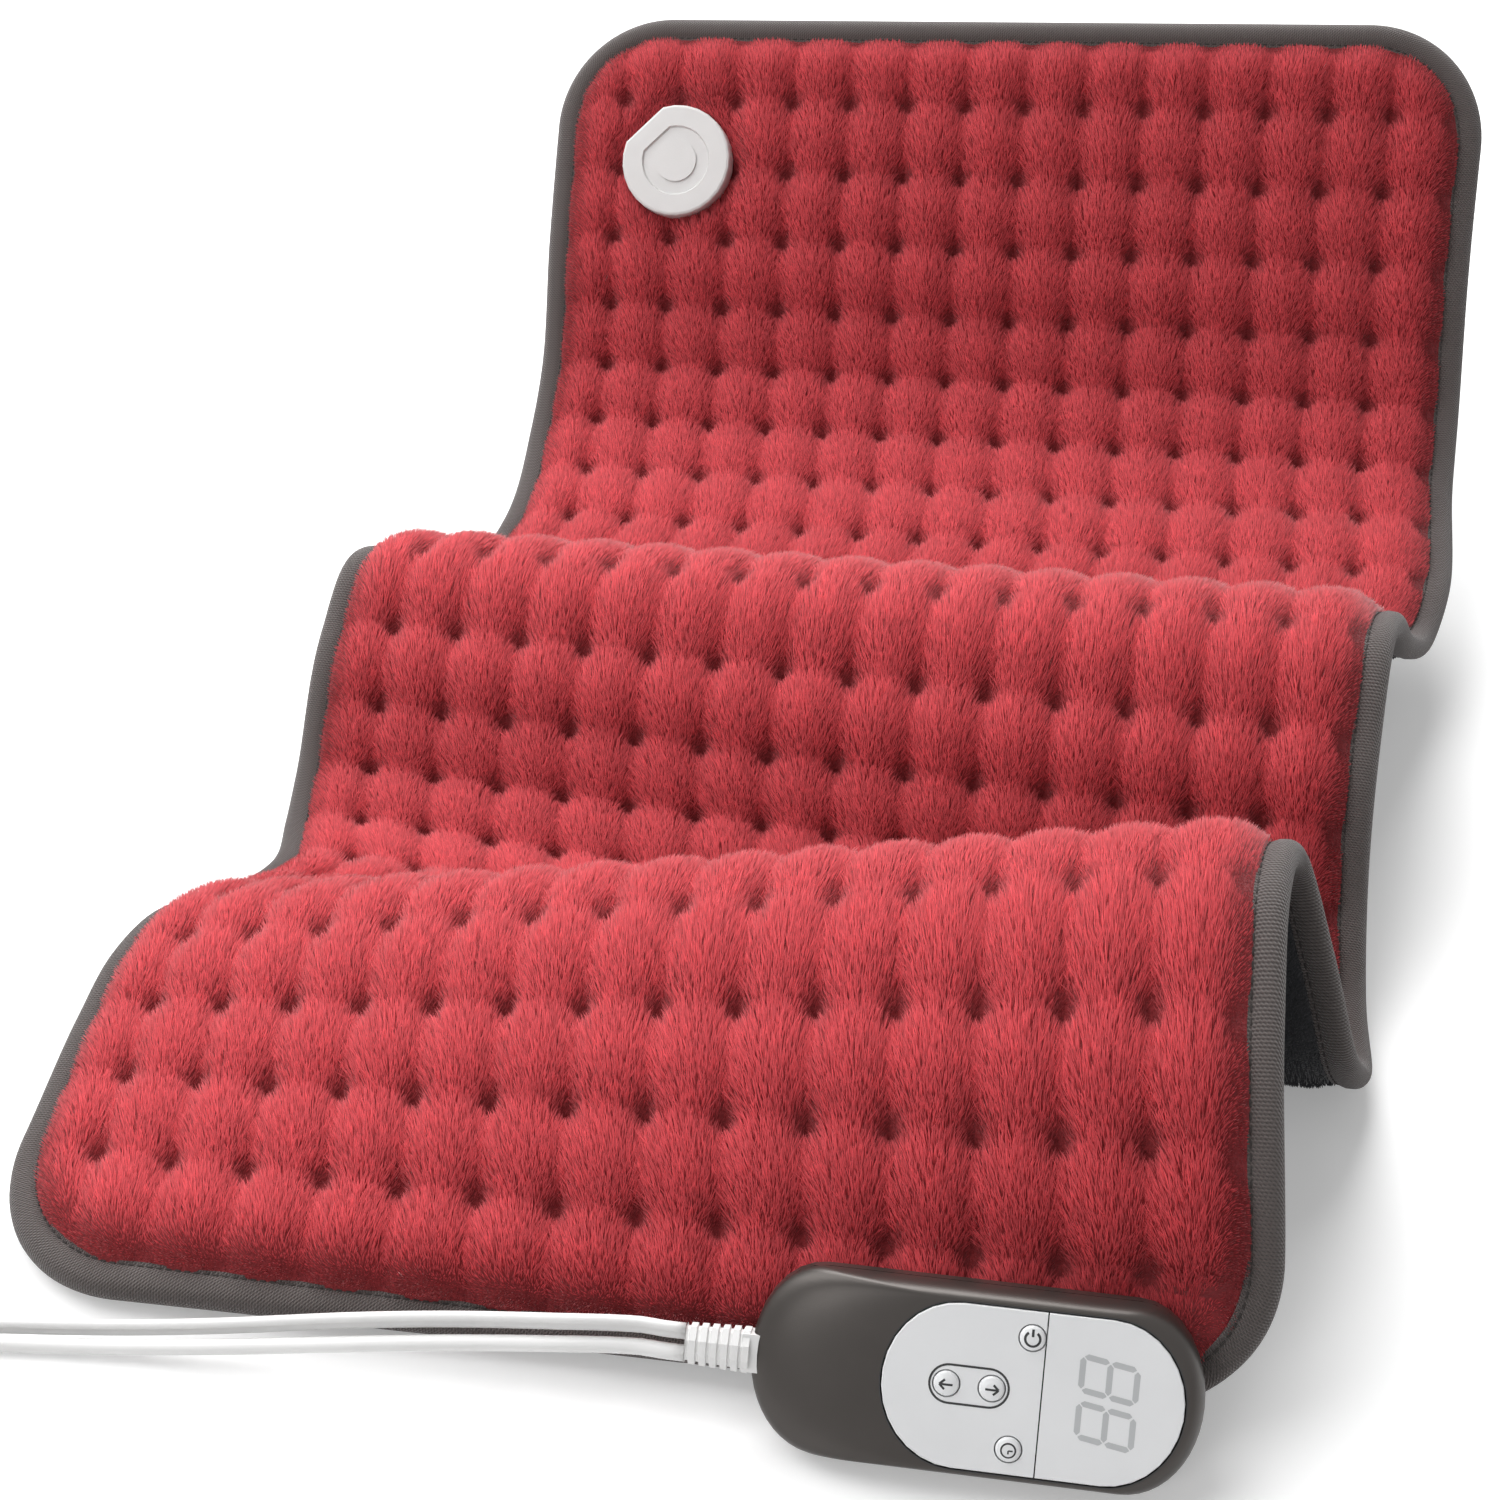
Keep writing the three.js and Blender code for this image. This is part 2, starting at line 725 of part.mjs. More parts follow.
function connectorShell() {
  const bottom = connectorSeat;
  const top = bottom + connectorThickness;
  const rounding = connectorChamfer;
  const outline = (inset) => flatDisc(connectorRadius - inset, connectorFlat - inset);
  const disc = stack(outline, [
    [bottom, rounding / 2],
    [bottom + rounding / 2, 0],
    [top - rounding, 0],
    [top - rounding * 0.3, rounding * 0.3],
    [top, rounding],
  ]);
  const recessOutline = (inset) => flatDisc(recessRadius - inset, recessFlat - inset);
  const recess = stack(recessOutline, [[top - recessDepth, recessSlope], [top + recessDepth, -recessSlope]]);
  const boss = rod(bossRadius, 0, 0, top - 2 * recessDepth, top - bossDrop, 28);
  const socket = box(
    -socketWidth / 2,
    socketWidth / 2,
    connectorFlat - socketDepth,
    connectorFlat + 1,
    bottom + socketFloor,
    bottom + socketFloor + socketHeight,
  );
  return cut(join(cut(disc, recess), boss), socket);
}

function connectorBase() {
  const top = carrierTop - carrierThickness - layerGap - backThickness - gap;
  const profile = [
    [0, top - baseThickness],
    [baseRadius - baseChamfer, top - baseThickness],
    [baseRadius, top - baseThickness + baseChamfer],
    [baseRadius, top],
    [neckRadius, top],
    [neckRadius, connectorSeat - gap],
    [0, connectorSeat - gap],
  ];
  const points = profile.map(([x, y]) => new THREE.Vector2(x, y));
  return new THREE.LatheGeometry(points, 28).rotateX(Math.PI / 2);
}

function connectorContact(i) {
  const x = (i - (contactCount - 1) / 2) * contactPitch;
  const bottom = connectorSeat + socketFloor + gap;
  return box(
    x - contactWidth / 2,
    x + contactWidth / 2,
    connectorFlat - socketDepth + gap,
    connectorFlat - contactInset,
    bottom,
    bottom + contactThickness,
  );
}

// The hand control's heights, from its back at 0 to its face.
const plateTop = handsetThickness + plateProud;
const plateBottom = plateTop - plateThickness;
const recessFloor = plateBottom - gap;
const faceUnderside = recessFloor - faceWall;
const boardTop = boardHeight + boardThickness;
const partTop = boardTop + gap;
const flangeTop = faceUnderside - gap;
const plungerTop = flangeTop - buttonFlangeThickness - buttonTravel - gap;

const handsetOutline = (inset) =>
  oblong(-halfLength + inset, halfLength - inset, handsetWidth - 2 * inset, handsetEnd - inset);
const plateOutline = (inset) =>
  oblong(plateLeft + inset, plateRight - inset, plateWidth - 2 * inset, plateEnd - inset);

// Along the hand control: the strain relief's flange, the screw bosses, the power parts and the display.
const screwBossRadius = screwRadius + gap + bossWall;
const flangeStart = -halfLength + handsetWall + 1 + gap;
const flangeEnd = flangeStart + reliefInside;
const screwPlaces = {
  left: flangeEnd + bossClearance + screwBossRadius,
  right: halfLength - screwInset,
};
const boardLeft = boardCentre - boardLength / 2;
const powerLeft = boardLeft + powerInset;
const powerRight = powerLeft + powerLength;
const displayLeft = plateSplit + displayInset;
const displayRight = screwPlaces.right - screwBossRadius - displayClearance;

// The opening in both shells' left end that the strain relief sits in.
const reliefPassage = (clearance) =>
  box(
    -halfLength - 1,
    -halfLength + handsetWall + 1,
    -reliefWidth / 2 + 1 - clearance,
    reliefWidth / 2 - 1 + clearance,
    partingHeight - reliefThickness / 2 + 1 - clearance,
    partingHeight + reliefThickness / 2 - 1 + clearance,
  );

function handsetBottom() {
  const edge = partingHeight - gap / 2;
  const shell = stack(handsetOutline, [[0, 4], [0.7, 2], [2.2, 0.6], [4.2, 0], [edge, 0]]);
  const inside = (inset) => handsetOutline(inset + handsetWall);
  const hollow = stack(inside, [[handsetWall, 2], [4.2, 0], [edge + 1, 0]]);
  const posts = [];
  for (const x of [-1, 1]) {
    for (const y of [-1, 1]) {
      const postX = boardCentre + x * (boardLength / 2 - postInset);
      const postY = y * (boardWidth / 2 - postInset);
      posts.push(rod(postRadius, postX, postY, handsetWall - 0.5, boardHeight - gap, 12));
    }
  }
  const bosses = Object.values(screwPlaces).map((x) =>
    rod(screwBossRadius, x, 0, handsetWall - 0.5, edge, 16),
  );
  const holes = Object.values(screwPlaces).flatMap((x) => [
    rod(screwRadius + gap, x, 0, -1, handsetThickness, 12),
    rod(screwHeadRadius + gap, x, 0, -1, screwHeadThickness + gap, 16),
  ]);
  return cut(join(cut(shell, hollow), ...posts, ...bosses), ...holes, reliefPassage(gap));
}

function handsetTop() {
  const edge = partingHeight + gap / 2;
  const top = handsetThickness;
  const shell = stack(handsetOutline, [
    [edge, 0], [top - 3.8, 0.1], [top - 2, 0.7], [top - 0.9, 1.6], [top - 0.25, 2.6], [top, 3.4],
  ]);
  const inside = (inset) => handsetOutline(inset + handsetWall);
  const hollow = stack(inside, [[edge - 1, 0], [faceUnderside - 1.6, 0.4], [faceUnderside, 1.6]]);
  const recess = stack(plateOutline, [[recessFloor, -gap], [top + 1, -gap]]);
  const bosses = Object.values(screwPlaces).map((x) =>
    rod(screwBossRadius, x, 0, edge, faceUnderside + 0.5, 16),
  );
  const screwHoles = Object.values(screwPlaces).map((x) =>
    rod(screwRadius + gap, x, 0, edge - 1, faceUnderside - 1, 12),
  );
  const buttonHoles = Object.values(buttonPlaces).map(([x, y]) =>
    rod(buttonRadius + gap, x, y, faceUnderside - 1, top + 1),
  );
  const displayHole = box(
    displayLeft + 1,
    displayRight - 1,
    -displayWidth / 2 + 1,
    displayWidth / 2 - 1,
    faceUnderside - 1,
    top,
  );
  const tools = [recess, ...screwHoles, ...buttonHoles, displayHole, reliefPassage(gap)];
  return cut(join(cut(shell, hollow), ...bosses), ...tools);
}

// The inlaid plate is split across: keys to the left, the display's window to the right.
function facePlate(fromX, toX, holes) {
  const whole = stack(plateOutline, [[plateBottom, 0], [plateTop - 0.2, 0], [plateTop, 0.2]]);
  const sides = [];
  if (fromX > plateLeft) sides.push(box(plateLeft - 1, fromX, -plateWidth, plateWidth, 0, plateTop + 1));
  if (toX < plateRight) sides.push(box(toX, plateRight + 1, -plateWidth, plateWidth, 0, plateTop + 1));
  return cut(whole, ...sides, ...holes);
}

function keyPlate() {
  const holes = Object.values(buttonPlaces).map(([x, y]) =>
    rod(buttonRadius + gap, x, y, plateBottom - 1, plateTop + 1),
  );
  return facePlate(plateLeft, plateSplit - gap / 2, holes);
}

// A button: a dome on a shaft through plate and shell, held from inside by its flange.
function button([x, y]) {
  const profile = [
    [0, flangeTop - buttonFlangeThickness],
    [buttonFlange, flangeTop - buttonFlangeThickness],
    [buttonFlange, flangeTop],
    [buttonRadius, flangeTop],
    [buttonRadius, plateTop],
    [buttonRadius * 0.86, plateTop + buttonDome * 0.55],
    [buttonRadius * 0.5, plateTop + buttonDome * 0.9],
    [0, plateTop + buttonDome],
  ];
  const points = profile.map(([radius, height]) => new THREE.Vector2(radius, height));
  return new THREE.LatheGeometry(points, 20).rotateX(Math.PI / 2).translate(x, y, 0);
}

function keySwitch([x, y]) {
  const half = switchSize / 2;
  const top = partTop + switchThickness;
  const body = box(x - half, x + half, y - half, y + half, partTop, top);
  return join(body, rod(plungerRadius, x, y, top - 0.5, plungerTop, 12));
}

function circuitBoard() {
  const half = boardWidth / 2;
  return box(boardLeft, boardLeft + boardLength, -half, half, boardHeight, boardTop);
}

function displayModule() {
  const half = displayWidth / 2;
  return box(displayLeft, displayRight, -half, half, partTop, faceUnderside - gap);
}

function handsetScrew(x) {
  const seat = screwHeadThickness;
  const profile = [
    [0, 0.3],
    [screwHeadRadius, 0.3],
    [screwHeadRadius, seat],
    [screwRadius, seat],
    [screwRadius, faceUnderside - 1.6],
    [0, faceUnderside - 1.6],
  ];
  const points = profile.map(([radius, height]) => new THREE.Vector2(radius, height));
  return new THREE.LatheGeometry(points, 14).rotateX(Math.PI / 2).translate(x, 0, 0);
}

// A ribbed, tapering sleeve along +Y whose rings shrink in each groove.
function ribbedSleeve({ length, width, height, endShare, ribs }) {
  const section = (share) => {
    const half = [(width / 2) * share, (height / 2) * share];
    return oblong(-half[0], half[0], 2 * half[1], Math.min(half[1], half[0] * 0.98), 3);
  };
  const rings = [];
  for (let i = 0; i < ribs; i++) {
    const from = i / ribs;
    for (const [along, depth] of [[0, 1], [0.6, 1], [0.68, 0.84], [0.92, 0.84]]) {
      const place = from + along / ribs;
      const share = (1 - (1 - endShare) * place) * depth;
      rings.push(section(share).map(([x, z]) => vector(x, place * length, -z)));
    }
  }
  rings.push(section(endShare).map(([x, z]) => vector(x, length, -z)));
  return loft(rings);
}

// The strain relief of both leads: outside it is ribbed, inside a flange holds it in the shells.
function strainRelief() {
  const sleeve = ribbedSleeve({
    length: reliefLength,
    width: reliefWidth,
    height: reliefThickness,
    endShare: reliefEndShare,
    ribs: reliefRibs,
  });
  sleeve.rotateZ(Math.PI / 2).translate(-halfLength - gap, 0, partingHeight);
  const neck = box(
    -halfLength - 2,
    flangeStart + 1,
    -reliefWidth / 2 + 1,
    reliefWidth / 2 - 1,
    partingHeight - reliefThickness / 2 + 1,
    partingHeight + reliefThickness / 2 - 1,
  );
  const flange = box(
    flangeStart,
    flangeEnd,
    -reliefWidth / 2,
    reliefWidth / 2,
    partingHeight - reliefThickness / 2 + 0.4,
    partingHeight + reliefThickness / 2 - 0.4,
  );
  return join(sleeve, neck, flange);
}

function framedGroup(parent, matrix) {
  const group = new THREE.Group();
  matrix.decompose(group.position, group.quaternion, group.scale);
  parent.add(group);
  return group;
}

// Pad.
const neckHole = rod(neckRadius + gap, 0, 0, -20, 30, 12).applyMatrix4(connectorFrame);
add(standing, "plush_cover", cut(plushCover(), neckHole), plushFinish);
add(standing, "wire_carrier", cut(wireCarrier(), neckHole), feltFinish);
add(standing, "back_cover", cut(backCover(), neckHole), backFinish);
add(standing, "edge_binding", edgeBinding(), bindingFinish);
add(standing, "heating_wire", heatingWire(), wireFinish);
add(standing, "sensor_front", sensor(...sensorPlaces.front), blackFinish);
add(standing, "sensor_back", sensor(...sensorPlaces.back), blackFinish);

// Connector on the pad.
const connector = framedGroup(standing, connectorFrame.clone().multiply(connectorTurn));
add(connector, "connector_shell", connectorShell(), whiteFinish);
add(connector, "connector_base", connectorBase(), whiteFinish);
for (let i = 0; i < contactCount; i++) {
  add(connector, `connector_contact_${i + 1}`, connectorContact(i), brassFinish);
}

// Hand control.
const handset = framedGroup(standing, handsetMatrix);
add(handset, "handset_bottom_shell", handsetBottom(), bodyFinish);
add(handset, "handset_top_shell", handsetTop(), bodyFinish);
add(handset, "key_plate", keyPlate(), plateFinish);
add(handset, "display_window", facePlate(plateSplit + gap / 2, plateRight, []), plateFinish);
add(handset, "circuit_board", circuitBoard(), boardFinish);
add(handset, "display_module", displayModule(), blackFinish);
for (const [name, place] of Object.entries(buttonPlaces)) {
  add(handset, `${name}_button`, button(place), plateFinish);
  add(handset, `${name}_switch`, keySwitch(place), blackFinish);
}
add(
  handset, "triac", box(powerLeft, powerRight, ...triacSides, partTop, partTop + triacHeight),
  blackFinish,
);
add(
  handset, "fuse", box(powerLeft, powerRight, ...fuseSides, partTop, partTop + fuseHeight), feltFinish,
);
for (const [name, x] of Object.entries(screwPlaces)) {
  add(handset, `screw_${name}`, handsetScrew(x), steelFinish);
}
add(handset, "strain_relief", strainRelief(), whiteFinish);

// Leads: each leaves the strain relief, runs along its points and meets its coil.
const reliefFace = -halfLength - gap - reliefLength - gap;
const leadStart = (y) => vector(reliefFace, y, partingHeight).applyMatrix4(handsetMatrix);
const twinSection = (sides) =>
  sides.map(([x, y]) => [(x * mainsLeadThickness) / 2, (y * mainsLeadWidth) / 2]);
const hexagon = [[0.55, -0.75], [1, 0], [0.55, 0.75], [-0.55, 0.75], [-1, 0], [-0.55, -0.75]];
const upright = () => vector(0, 0, 1);

const handsetBack = vector(-1, 0, 0).transformDirection(handsetMatrix);

function lead(start, route, section, diameter, coilStart, coilDirection) {
  const first = start.clone().addScaledVector(handsetBack, diameter);
  const last = coilStart.clone().addScaledVector(coilDirection, -gap);
  const before = last.clone().addScaledVector(coilDirection, -diameter);
  const middle = route.map((point) => vector(...point));
  const curve = new THREE.CatmullRomCurve3([start, first, ...middle, before, last]);
  const points = curve.getSpacedPoints(Math.round(curve.getLength() / (leadStep * diameter)));
  return { points, length: curve.getLength(), geometry: sweep(points, section, upright) };
}

// A cord wound in on the floor and out again on top of it, from a straight start to a straight end.
function coil({ centre, radius, turns, startAngle, way, pitch, rise, height, tail }) {
  const points = [];
  const steps = Math.round(turns * coilStepsPerTurn);
  for (let i = 0; i <= steps; i++) {
    const turn = (i / steps) * turns;
    const fromEnd = Math.min(turn, turns - turn);
    const climb = THREE.MathUtils.smoothstep(turn, turns / 2 - 0.25, turns / 2 + 0.25);
    const fromMiddle = Math.abs(turn - turns / 2);
    const dip = (pitch / 2) * (1 - THREE.MathUtils.smoothstep(fromMiddle, 0.25, 0.5));
    const angle = startAngle + way * 2 * Math.PI * turn;
    const reach = radius - pitch * fromEnd - dip;
    const x = centre[0] + reach * Math.cos(angle);
    const y = centre[1] + reach * Math.sin(angle);
    points.push(vector(x, y, height + rise * climb));
  }
  const along = (angle) => vector(-way * Math.sin(angle), way * Math.cos(angle), 0);
  const startWay = along(startAngle);
  const endWay = along(startAngle + way * 2 * Math.PI * turns);
  points.unshift(points[0].clone().addScaledVector(startWay, -coilStraight));
  points.push(points.at(-1).clone().addScaledVector(endWay, tail));
  return { points, startWay, endWay };
}

// The least distance between turns that lie next to each other, less the cord between them.
function coilGap(points, thickness, width) {
  let least = Infinity;
  const skip = coilStepsPerTurn / 2;
  points.forEach((a, i) => {
    for (const b of points.slice(i + skip)) {
      const flat = Math.hypot(a.x - b.x, a.y - b.y) - thickness;
      const tall = Math.abs(a.z - b.z) - width;
      least = Math.min(least, Math.max(flat, tall));
    }
  });
  return least;
}

function lengthOf(points) {
  return points.slice(1).reduce((sum, point, i) => sum + point.distanceTo(points[i]), 0);
}

// A strap round all turns of a coil, at one angle.
function coilTie({ centre, radius, turns, pitch, rise, height }, angle, thickness, width) {
  const inner = radius - (pitch * (turns + 1)) / 2 - thickness / 2 - tieClearance;
  const outer = radius + thickness / 2 + tieClearance;
  const low = height - width / 2 - gap;
  const high = height + rise + width / 2 + gap;
  const half = tieWidth / 2;
  const t = tieThickness;
  const strap = box(inner - t, outer + t, -half, half, low - t, high + t);
  const ring = cut(strap, box(inner, outer, -half - 1, half + 1, low, high));
  return ring.rotateZ(angle).translate(centre[0], centre[1], 0);
}

// The floor that the pad stands on, in the coordinates of the drape.
standing.updateMatrixWorld(true);
const padBox = new THREE.Box3().setFromObject(standing, true);
const floor = padBox.min.z;

const padCoilShape = {
  centre: padCoilCentre,
  radius: padCoilRadius,
  turns: padCoilTurns,
  startAngle: Math.PI / 2,
  way: 1,
  pitch: padLeadDiameter + coilSpacing,
  rise: padLeadDiameter + coilSpacing,
  height: floor + coilLift + padLeadDiameter / 2,
  tail: padTail,
};
const mainsCoilShape = {
  centre: mainsCoilCentre,
  radius: mainsCoilRadius,
  turns: mainsCoilTurns,
  startAngle: -Math.PI / 2,
  way: -1,
  pitch: mainsLeadThickness + coilSpacing,
  rise: mainsLeadWidth + coilSpacing,
  height: floor + coilLift + mainsLeadWidth / 2,
  tail: mainsTail,
};
const padCoil = coil(padCoilShape);
const mainsCoil = coil(mainsCoilShape);
const padLead = lead(
  leadStart(-leadsApart / 2), padLeadRoute, circle(padLeadDiameter / 2, 8), padLeadDiameter,
  padCoil.points[0], padCoil.startWay,
);
const mainsLead = lead(
  leadStart(leadsApart / 2), mainsLeadRoute, twinSection(circle(1.08, 8)), mainsLeadWidth,
  mainsCoil.points[0], mainsCoil.startWay,
);
add(cords, "pad_lead", padLead.geometry, whiteFinish);
add(cords, "mains_lead", mainsLead.geometry, whiteFinish);
add(cords, "pad_lead_coil", sweep(padCoil.points, circle(padLeadDiameter / 2, 6), upright), whiteFinish);
add(cords, "mains_lead_coil", sweep(mainsCoil.points, twinSection(hexagon), upright), whiteFinish);
const tieTurn = THREE.MathUtils.degToRad(tieAngle);
add(cords, "pad_lead_tie", coilTie(padCoilShape, -tieTurn, padLeadDiameter, padLeadDiameter), tieFinish);
add(
  cords, "mains_lead_tie", coilTie(mainsCoilShape, tieTurn, mainsLeadThickness, mainsLeadWidth),
  tieFinish,
);

// A frame at the end of a coil, with Y along the cord.
function endFrame({ points, endWay }) {
  const y = endWay.clone();
  const x = y.clone().cross(vector(0, 0, 1));
  const place = points.at(-1).clone().addScaledVector(y, gap);
  return new THREE.Matrix4().makeBasis(x, y, vector(0, 0, 1)).setPosition(place);
}

// Mains plug: a tapering relief, a body that widens to its grip, and two flat blades.
const mainsPlug = framedGroup(cords, endFrame(mainsCoil));
const plugStart = plugRelief.length + gap;
const plugOutline = (width, height, y) =>
  oblong(-width / 2, width / 2, height, height / 2, 5).map(([x, z]) => vector(x, y, -z));
const sleeveFor = (relief) => ribbedSleeve(relief).rotateZ(Math.PI).translate(0, relief.length, 0);
add(mainsPlug, "mains_plug_relief", sleeveFor(plugRelief), whiteFinish);
const bladeSlots = [-1, 1].map((side) =>
  box(
    (side * bladeSpacing) / 2 - bladeThickness / 2 - gap,
    (side * bladeSpacing) / 2 + bladeThickness / 2 + gap,
    plugStart + plugLength - bladeRoot,
    plugStart + plugLength + 1,
    -bladeWidth / 2 - gap,
    bladeWidth / 2 + gap,
  ),
);
const plugBody = loft([
  plugOutline(plugWidth * 0.55, plugThickness * 0.7, plugStart),
  plugOutline(plugWidth * 0.62, plugThickness * 0.8, plugStart + plugLength * 0.35),
  plugOutline(plugWidth, plugThickness, plugStart + plugLength * 0.7),
  plugOutline(plugWidth, plugThickness, plugStart + plugLength),
]);
add(mainsPlug, "mains_plug_body", cut(plugBody, ...bladeSlots), whiteFinish);
[-1, 1].forEach((side, i) => {
  const x = (side * bladeSpacing) / 2;
  const y0 = plugStart + plugLength - bladeRoot + gap;
  const half = bladeThickness / 2;
  const blade = box(x - half, x + half, y0, y0 + bladeRoot + bladeLength, -bladeWidth / 2, bladeWidth / 2);
  add(mainsPlug, `mains_plug_blade_${i + 1}`, blade, brassFinish);
});

// Pad plug: a grip with a flat tongue that fits the connector's socket, contacts on the tongue.
const padPlug = framedGroup(cords, endFrame(padCoil));
const padPlugStart = padPlugRelief.length + gap;
const padPlugEnd = padPlugStart + padPlugLength;
add(padPlug, "pad_plug_relief", sleeveFor(padPlugRelief), whiteFinish);
const padPlugGrip = loft([
  plugOutline(padPlugWidth * 0.6, padPlugThickness * 0.8, padPlugStart),
  plugOutline(padPlugWidth, padPlugThickness, padPlugStart + padPlugLength * 0.4),
  plugOutline(padPlugWidth, padPlugThickness, padPlugEnd),
]);
const tongueHalf = padPlugTongueThickness / 2;
const tongue = box(
  -padPlugTongueWidth / 2,
  padPlugTongueWidth / 2,
  padPlugEnd - 2,
  padPlugEnd + padPlugTongue,
  -tongueHalf,
  tongueHalf,
);
add(padPlug, "pad_plug_body", join(padPlugGrip, tongue), whiteFinish);
for (let i = 0; i < contactCount; i++) {
  const x = (i - (contactCount - 1) / 2) * contactPitch;
  const half = contactWidth / 2;
  const low = tongueHalf + gap;
  const strip = box(x - half, x + half, padPlugEnd + gap, padPlugEnd + padPlugTongue - 1, low, low + 0.4);
  add(padPlug, `pad_plug_contact_${i + 1}`, strip, brassFinish);
}

// Facts about the cords, and the part set with its middle over the origin and the floor at 0.
const shown = (value) => value.toFixed(2);
const middle = padBox.getCenter(vector(0, 0, 0)).setZ(floor);
part.position.copy(middle).negate();
console.log("pad lead", shown(padLead.length + lengthOf(padCoil.points)), "mm");
console.log("mains lead", shown(mainsLead.length + lengthOf(mainsCoil.points)), "mm");
console.log("pad coil gap", shown(coilGap(padCoil.points, padLeadDiameter, padLeadDiameter)), "mm");
console.log("mains coil gap", shown(coilGap(mainsCoil.points, mainsLeadThickness, mainsLeadWidth)), "mm");
console.log("moved by", shown(-middle.x), shown(-middle.y), shown(-middle.z), "mm");

export default part;
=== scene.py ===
"""Looks of a tufted plush heating pad, laid in two folds, with its wired hand control."""

import json
import math

import bpy
import numpy as np
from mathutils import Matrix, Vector


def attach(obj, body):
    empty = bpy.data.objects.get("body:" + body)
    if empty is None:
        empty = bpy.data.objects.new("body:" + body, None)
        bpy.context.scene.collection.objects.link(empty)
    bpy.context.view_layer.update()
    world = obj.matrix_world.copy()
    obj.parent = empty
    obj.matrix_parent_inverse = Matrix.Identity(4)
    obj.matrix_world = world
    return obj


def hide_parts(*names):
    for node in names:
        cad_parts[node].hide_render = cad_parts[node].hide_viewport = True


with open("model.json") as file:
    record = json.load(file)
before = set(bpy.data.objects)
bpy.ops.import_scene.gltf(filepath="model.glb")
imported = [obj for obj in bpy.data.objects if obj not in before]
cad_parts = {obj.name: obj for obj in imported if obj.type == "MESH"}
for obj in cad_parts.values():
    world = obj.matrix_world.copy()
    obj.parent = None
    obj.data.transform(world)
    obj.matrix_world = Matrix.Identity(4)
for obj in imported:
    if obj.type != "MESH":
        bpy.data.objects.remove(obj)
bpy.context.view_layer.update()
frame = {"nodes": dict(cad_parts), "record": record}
nodes = frame["nodes"]

# Sizes are in millimetres, as the pad was drawn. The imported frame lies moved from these, in metres.
MM = 0.001
FRAME_MOVE = np.array([1.30, -204.31, -3.11])
FLOOR = 3.11
ROOT = "pad_and_control"
SEED = 7
SMOOTH_ANGLE = math.radians(32)

# Pad, measured flat. Heights are distances from the sheet that the pad follows, plush side up.
PAD_WIDTH = 305
PAD_LENGTH = 612
CORNER_RADIUS = 38
CORNER_STEPS = 12
PLUSH_BOTTOM = 2.3
BACK_TOP = -1.4
BACK_BOTTOM = -4.6
BACK_EDGE = -2.0
TUCK = 2.5
EDGE_ROLL = 15
SKIN_STEP = 1.6
SLOPE_STEP = 0.5

# How the pad lies: for each distance from its front edge, a point of its left and right edge.
DRAPE = [
    (0, (-171, -20, 8), (134, 4, 9)),
    (31, (-171, 14, 10), (131, 18, 38)),
    (79, (-173, 58, 15), (124, 60, 77)),
    (102, (-172, 77, 18), (122, 89, 89)),
    (126, (-168, 95, 17), (125, 112, 82)),
    (150, (-161, 108, 12), (135, 107, 56)),
    (174, (-152, 120, 9), (143, 102, 29)),
    (198, (-148, 134, 8), (151, 115, 11)),
    (222, (-153, 150, 9), (152, 137, 12)),
    (246, (-156, 167, 15), (151, 157, 23)),
    (294, (-158, 201, 40), (149, 192, 54)),
    (318, (-156, 223, 50), (149, 218, 69)),
    (342, (-151, 243, 38), (153, 241, 62)),
    (366, (-145, 261, 22), (159, 258, 44)),
    (390, (-138, 281, 12), (166, 278, 31)),
    (414, (-133, 302, 15), (170, 300, 34)),
    (461, (-135, 342, 29), (171, 344, 46)),
    (485, (-136, 359, 42), (171, 362, 59)),
    (533, (-138, 386, 77), (167, 390, 95)),
    (612, (-141, 433, 137), (163, 433, 161)),
]

# Tufts, across and along the pad. Between them the plush skin stands up in ribs.
TUFT_FIRST = (24.5, 31)
TUFT_PITCH = (19.35, 23.9)
TUFT_COUNT = (14, 24)
RIB_POWERS = (0.9, 1.2)
SKIN_TOP = 8.6
SKIN_EDGE = 0.4
VALLEY_DEPTH = 5.2
COLUMN_SHARE = 0.5
ROW_SHARE = 0.22
PIT_DEPTH = 0.9
PIT_RADIUS = 2.0
PIT_STRETCH = 0.7

# Long waves that make the skin and the lie of the pile uneven.
WAVE_COUNT = 5
WAVE_SPREAD = (0.6, 1.4)
WAVE_SLANT = 3
WAVE_START = 6
SKIN_WAVES = {"size": 30, "seed": 3}
SKIN_WAVE_HEIGHT = 0.25
PILE_WAVES = {"size": 14, "seed": 11}
PILE_WAVE_TURN = 0.15

# Pile: fibres for each square millimetre, their length, lean and half width, and in how many pieces.
PLUSH_FIBRES = {"density": 4.8, "length": 4.6, "lean": math.radians(52), "radius": 0.12, "pieces": 8}
BACK_FIBRES = {"density": 1.8, "length": 2.2, "lean": math.radians(50), "radius": 0.14, "pieces": 3}
ROOT_SCATTER = 0.6
ROOT_DEPTH = 0.3
ROOT_OVERLAP = 0.5
FIBRE_SWING = 0.2
FIBRE_SPREAD = (0.75, 1.15)
CLUMP_PITCH = 1.3
CLUMP_SWING = 0.22
CLUMP_SHADE = (0.9, 1.1)
CLUMPING = 0.25
PILE_SLOPE_STEP = 0.4
PILE_EDGE = 9
EDGE_LEAN = 0.1
EDGE_LENGTH = 0.5
# Near a tuft the pile is shorter, and darker as painted shade in the tuft's pit.
TUFT_CLEARING = 6
TUFT_LENGTH = 0.25
TUFT_PAINTED_SHADE = 0.36
BLADE_ROLL = 0.5
BLADE_WIDEST = 0.6
MAP_MARGIN = 0.02
PILE_TRANSLUCENCE = 0.3

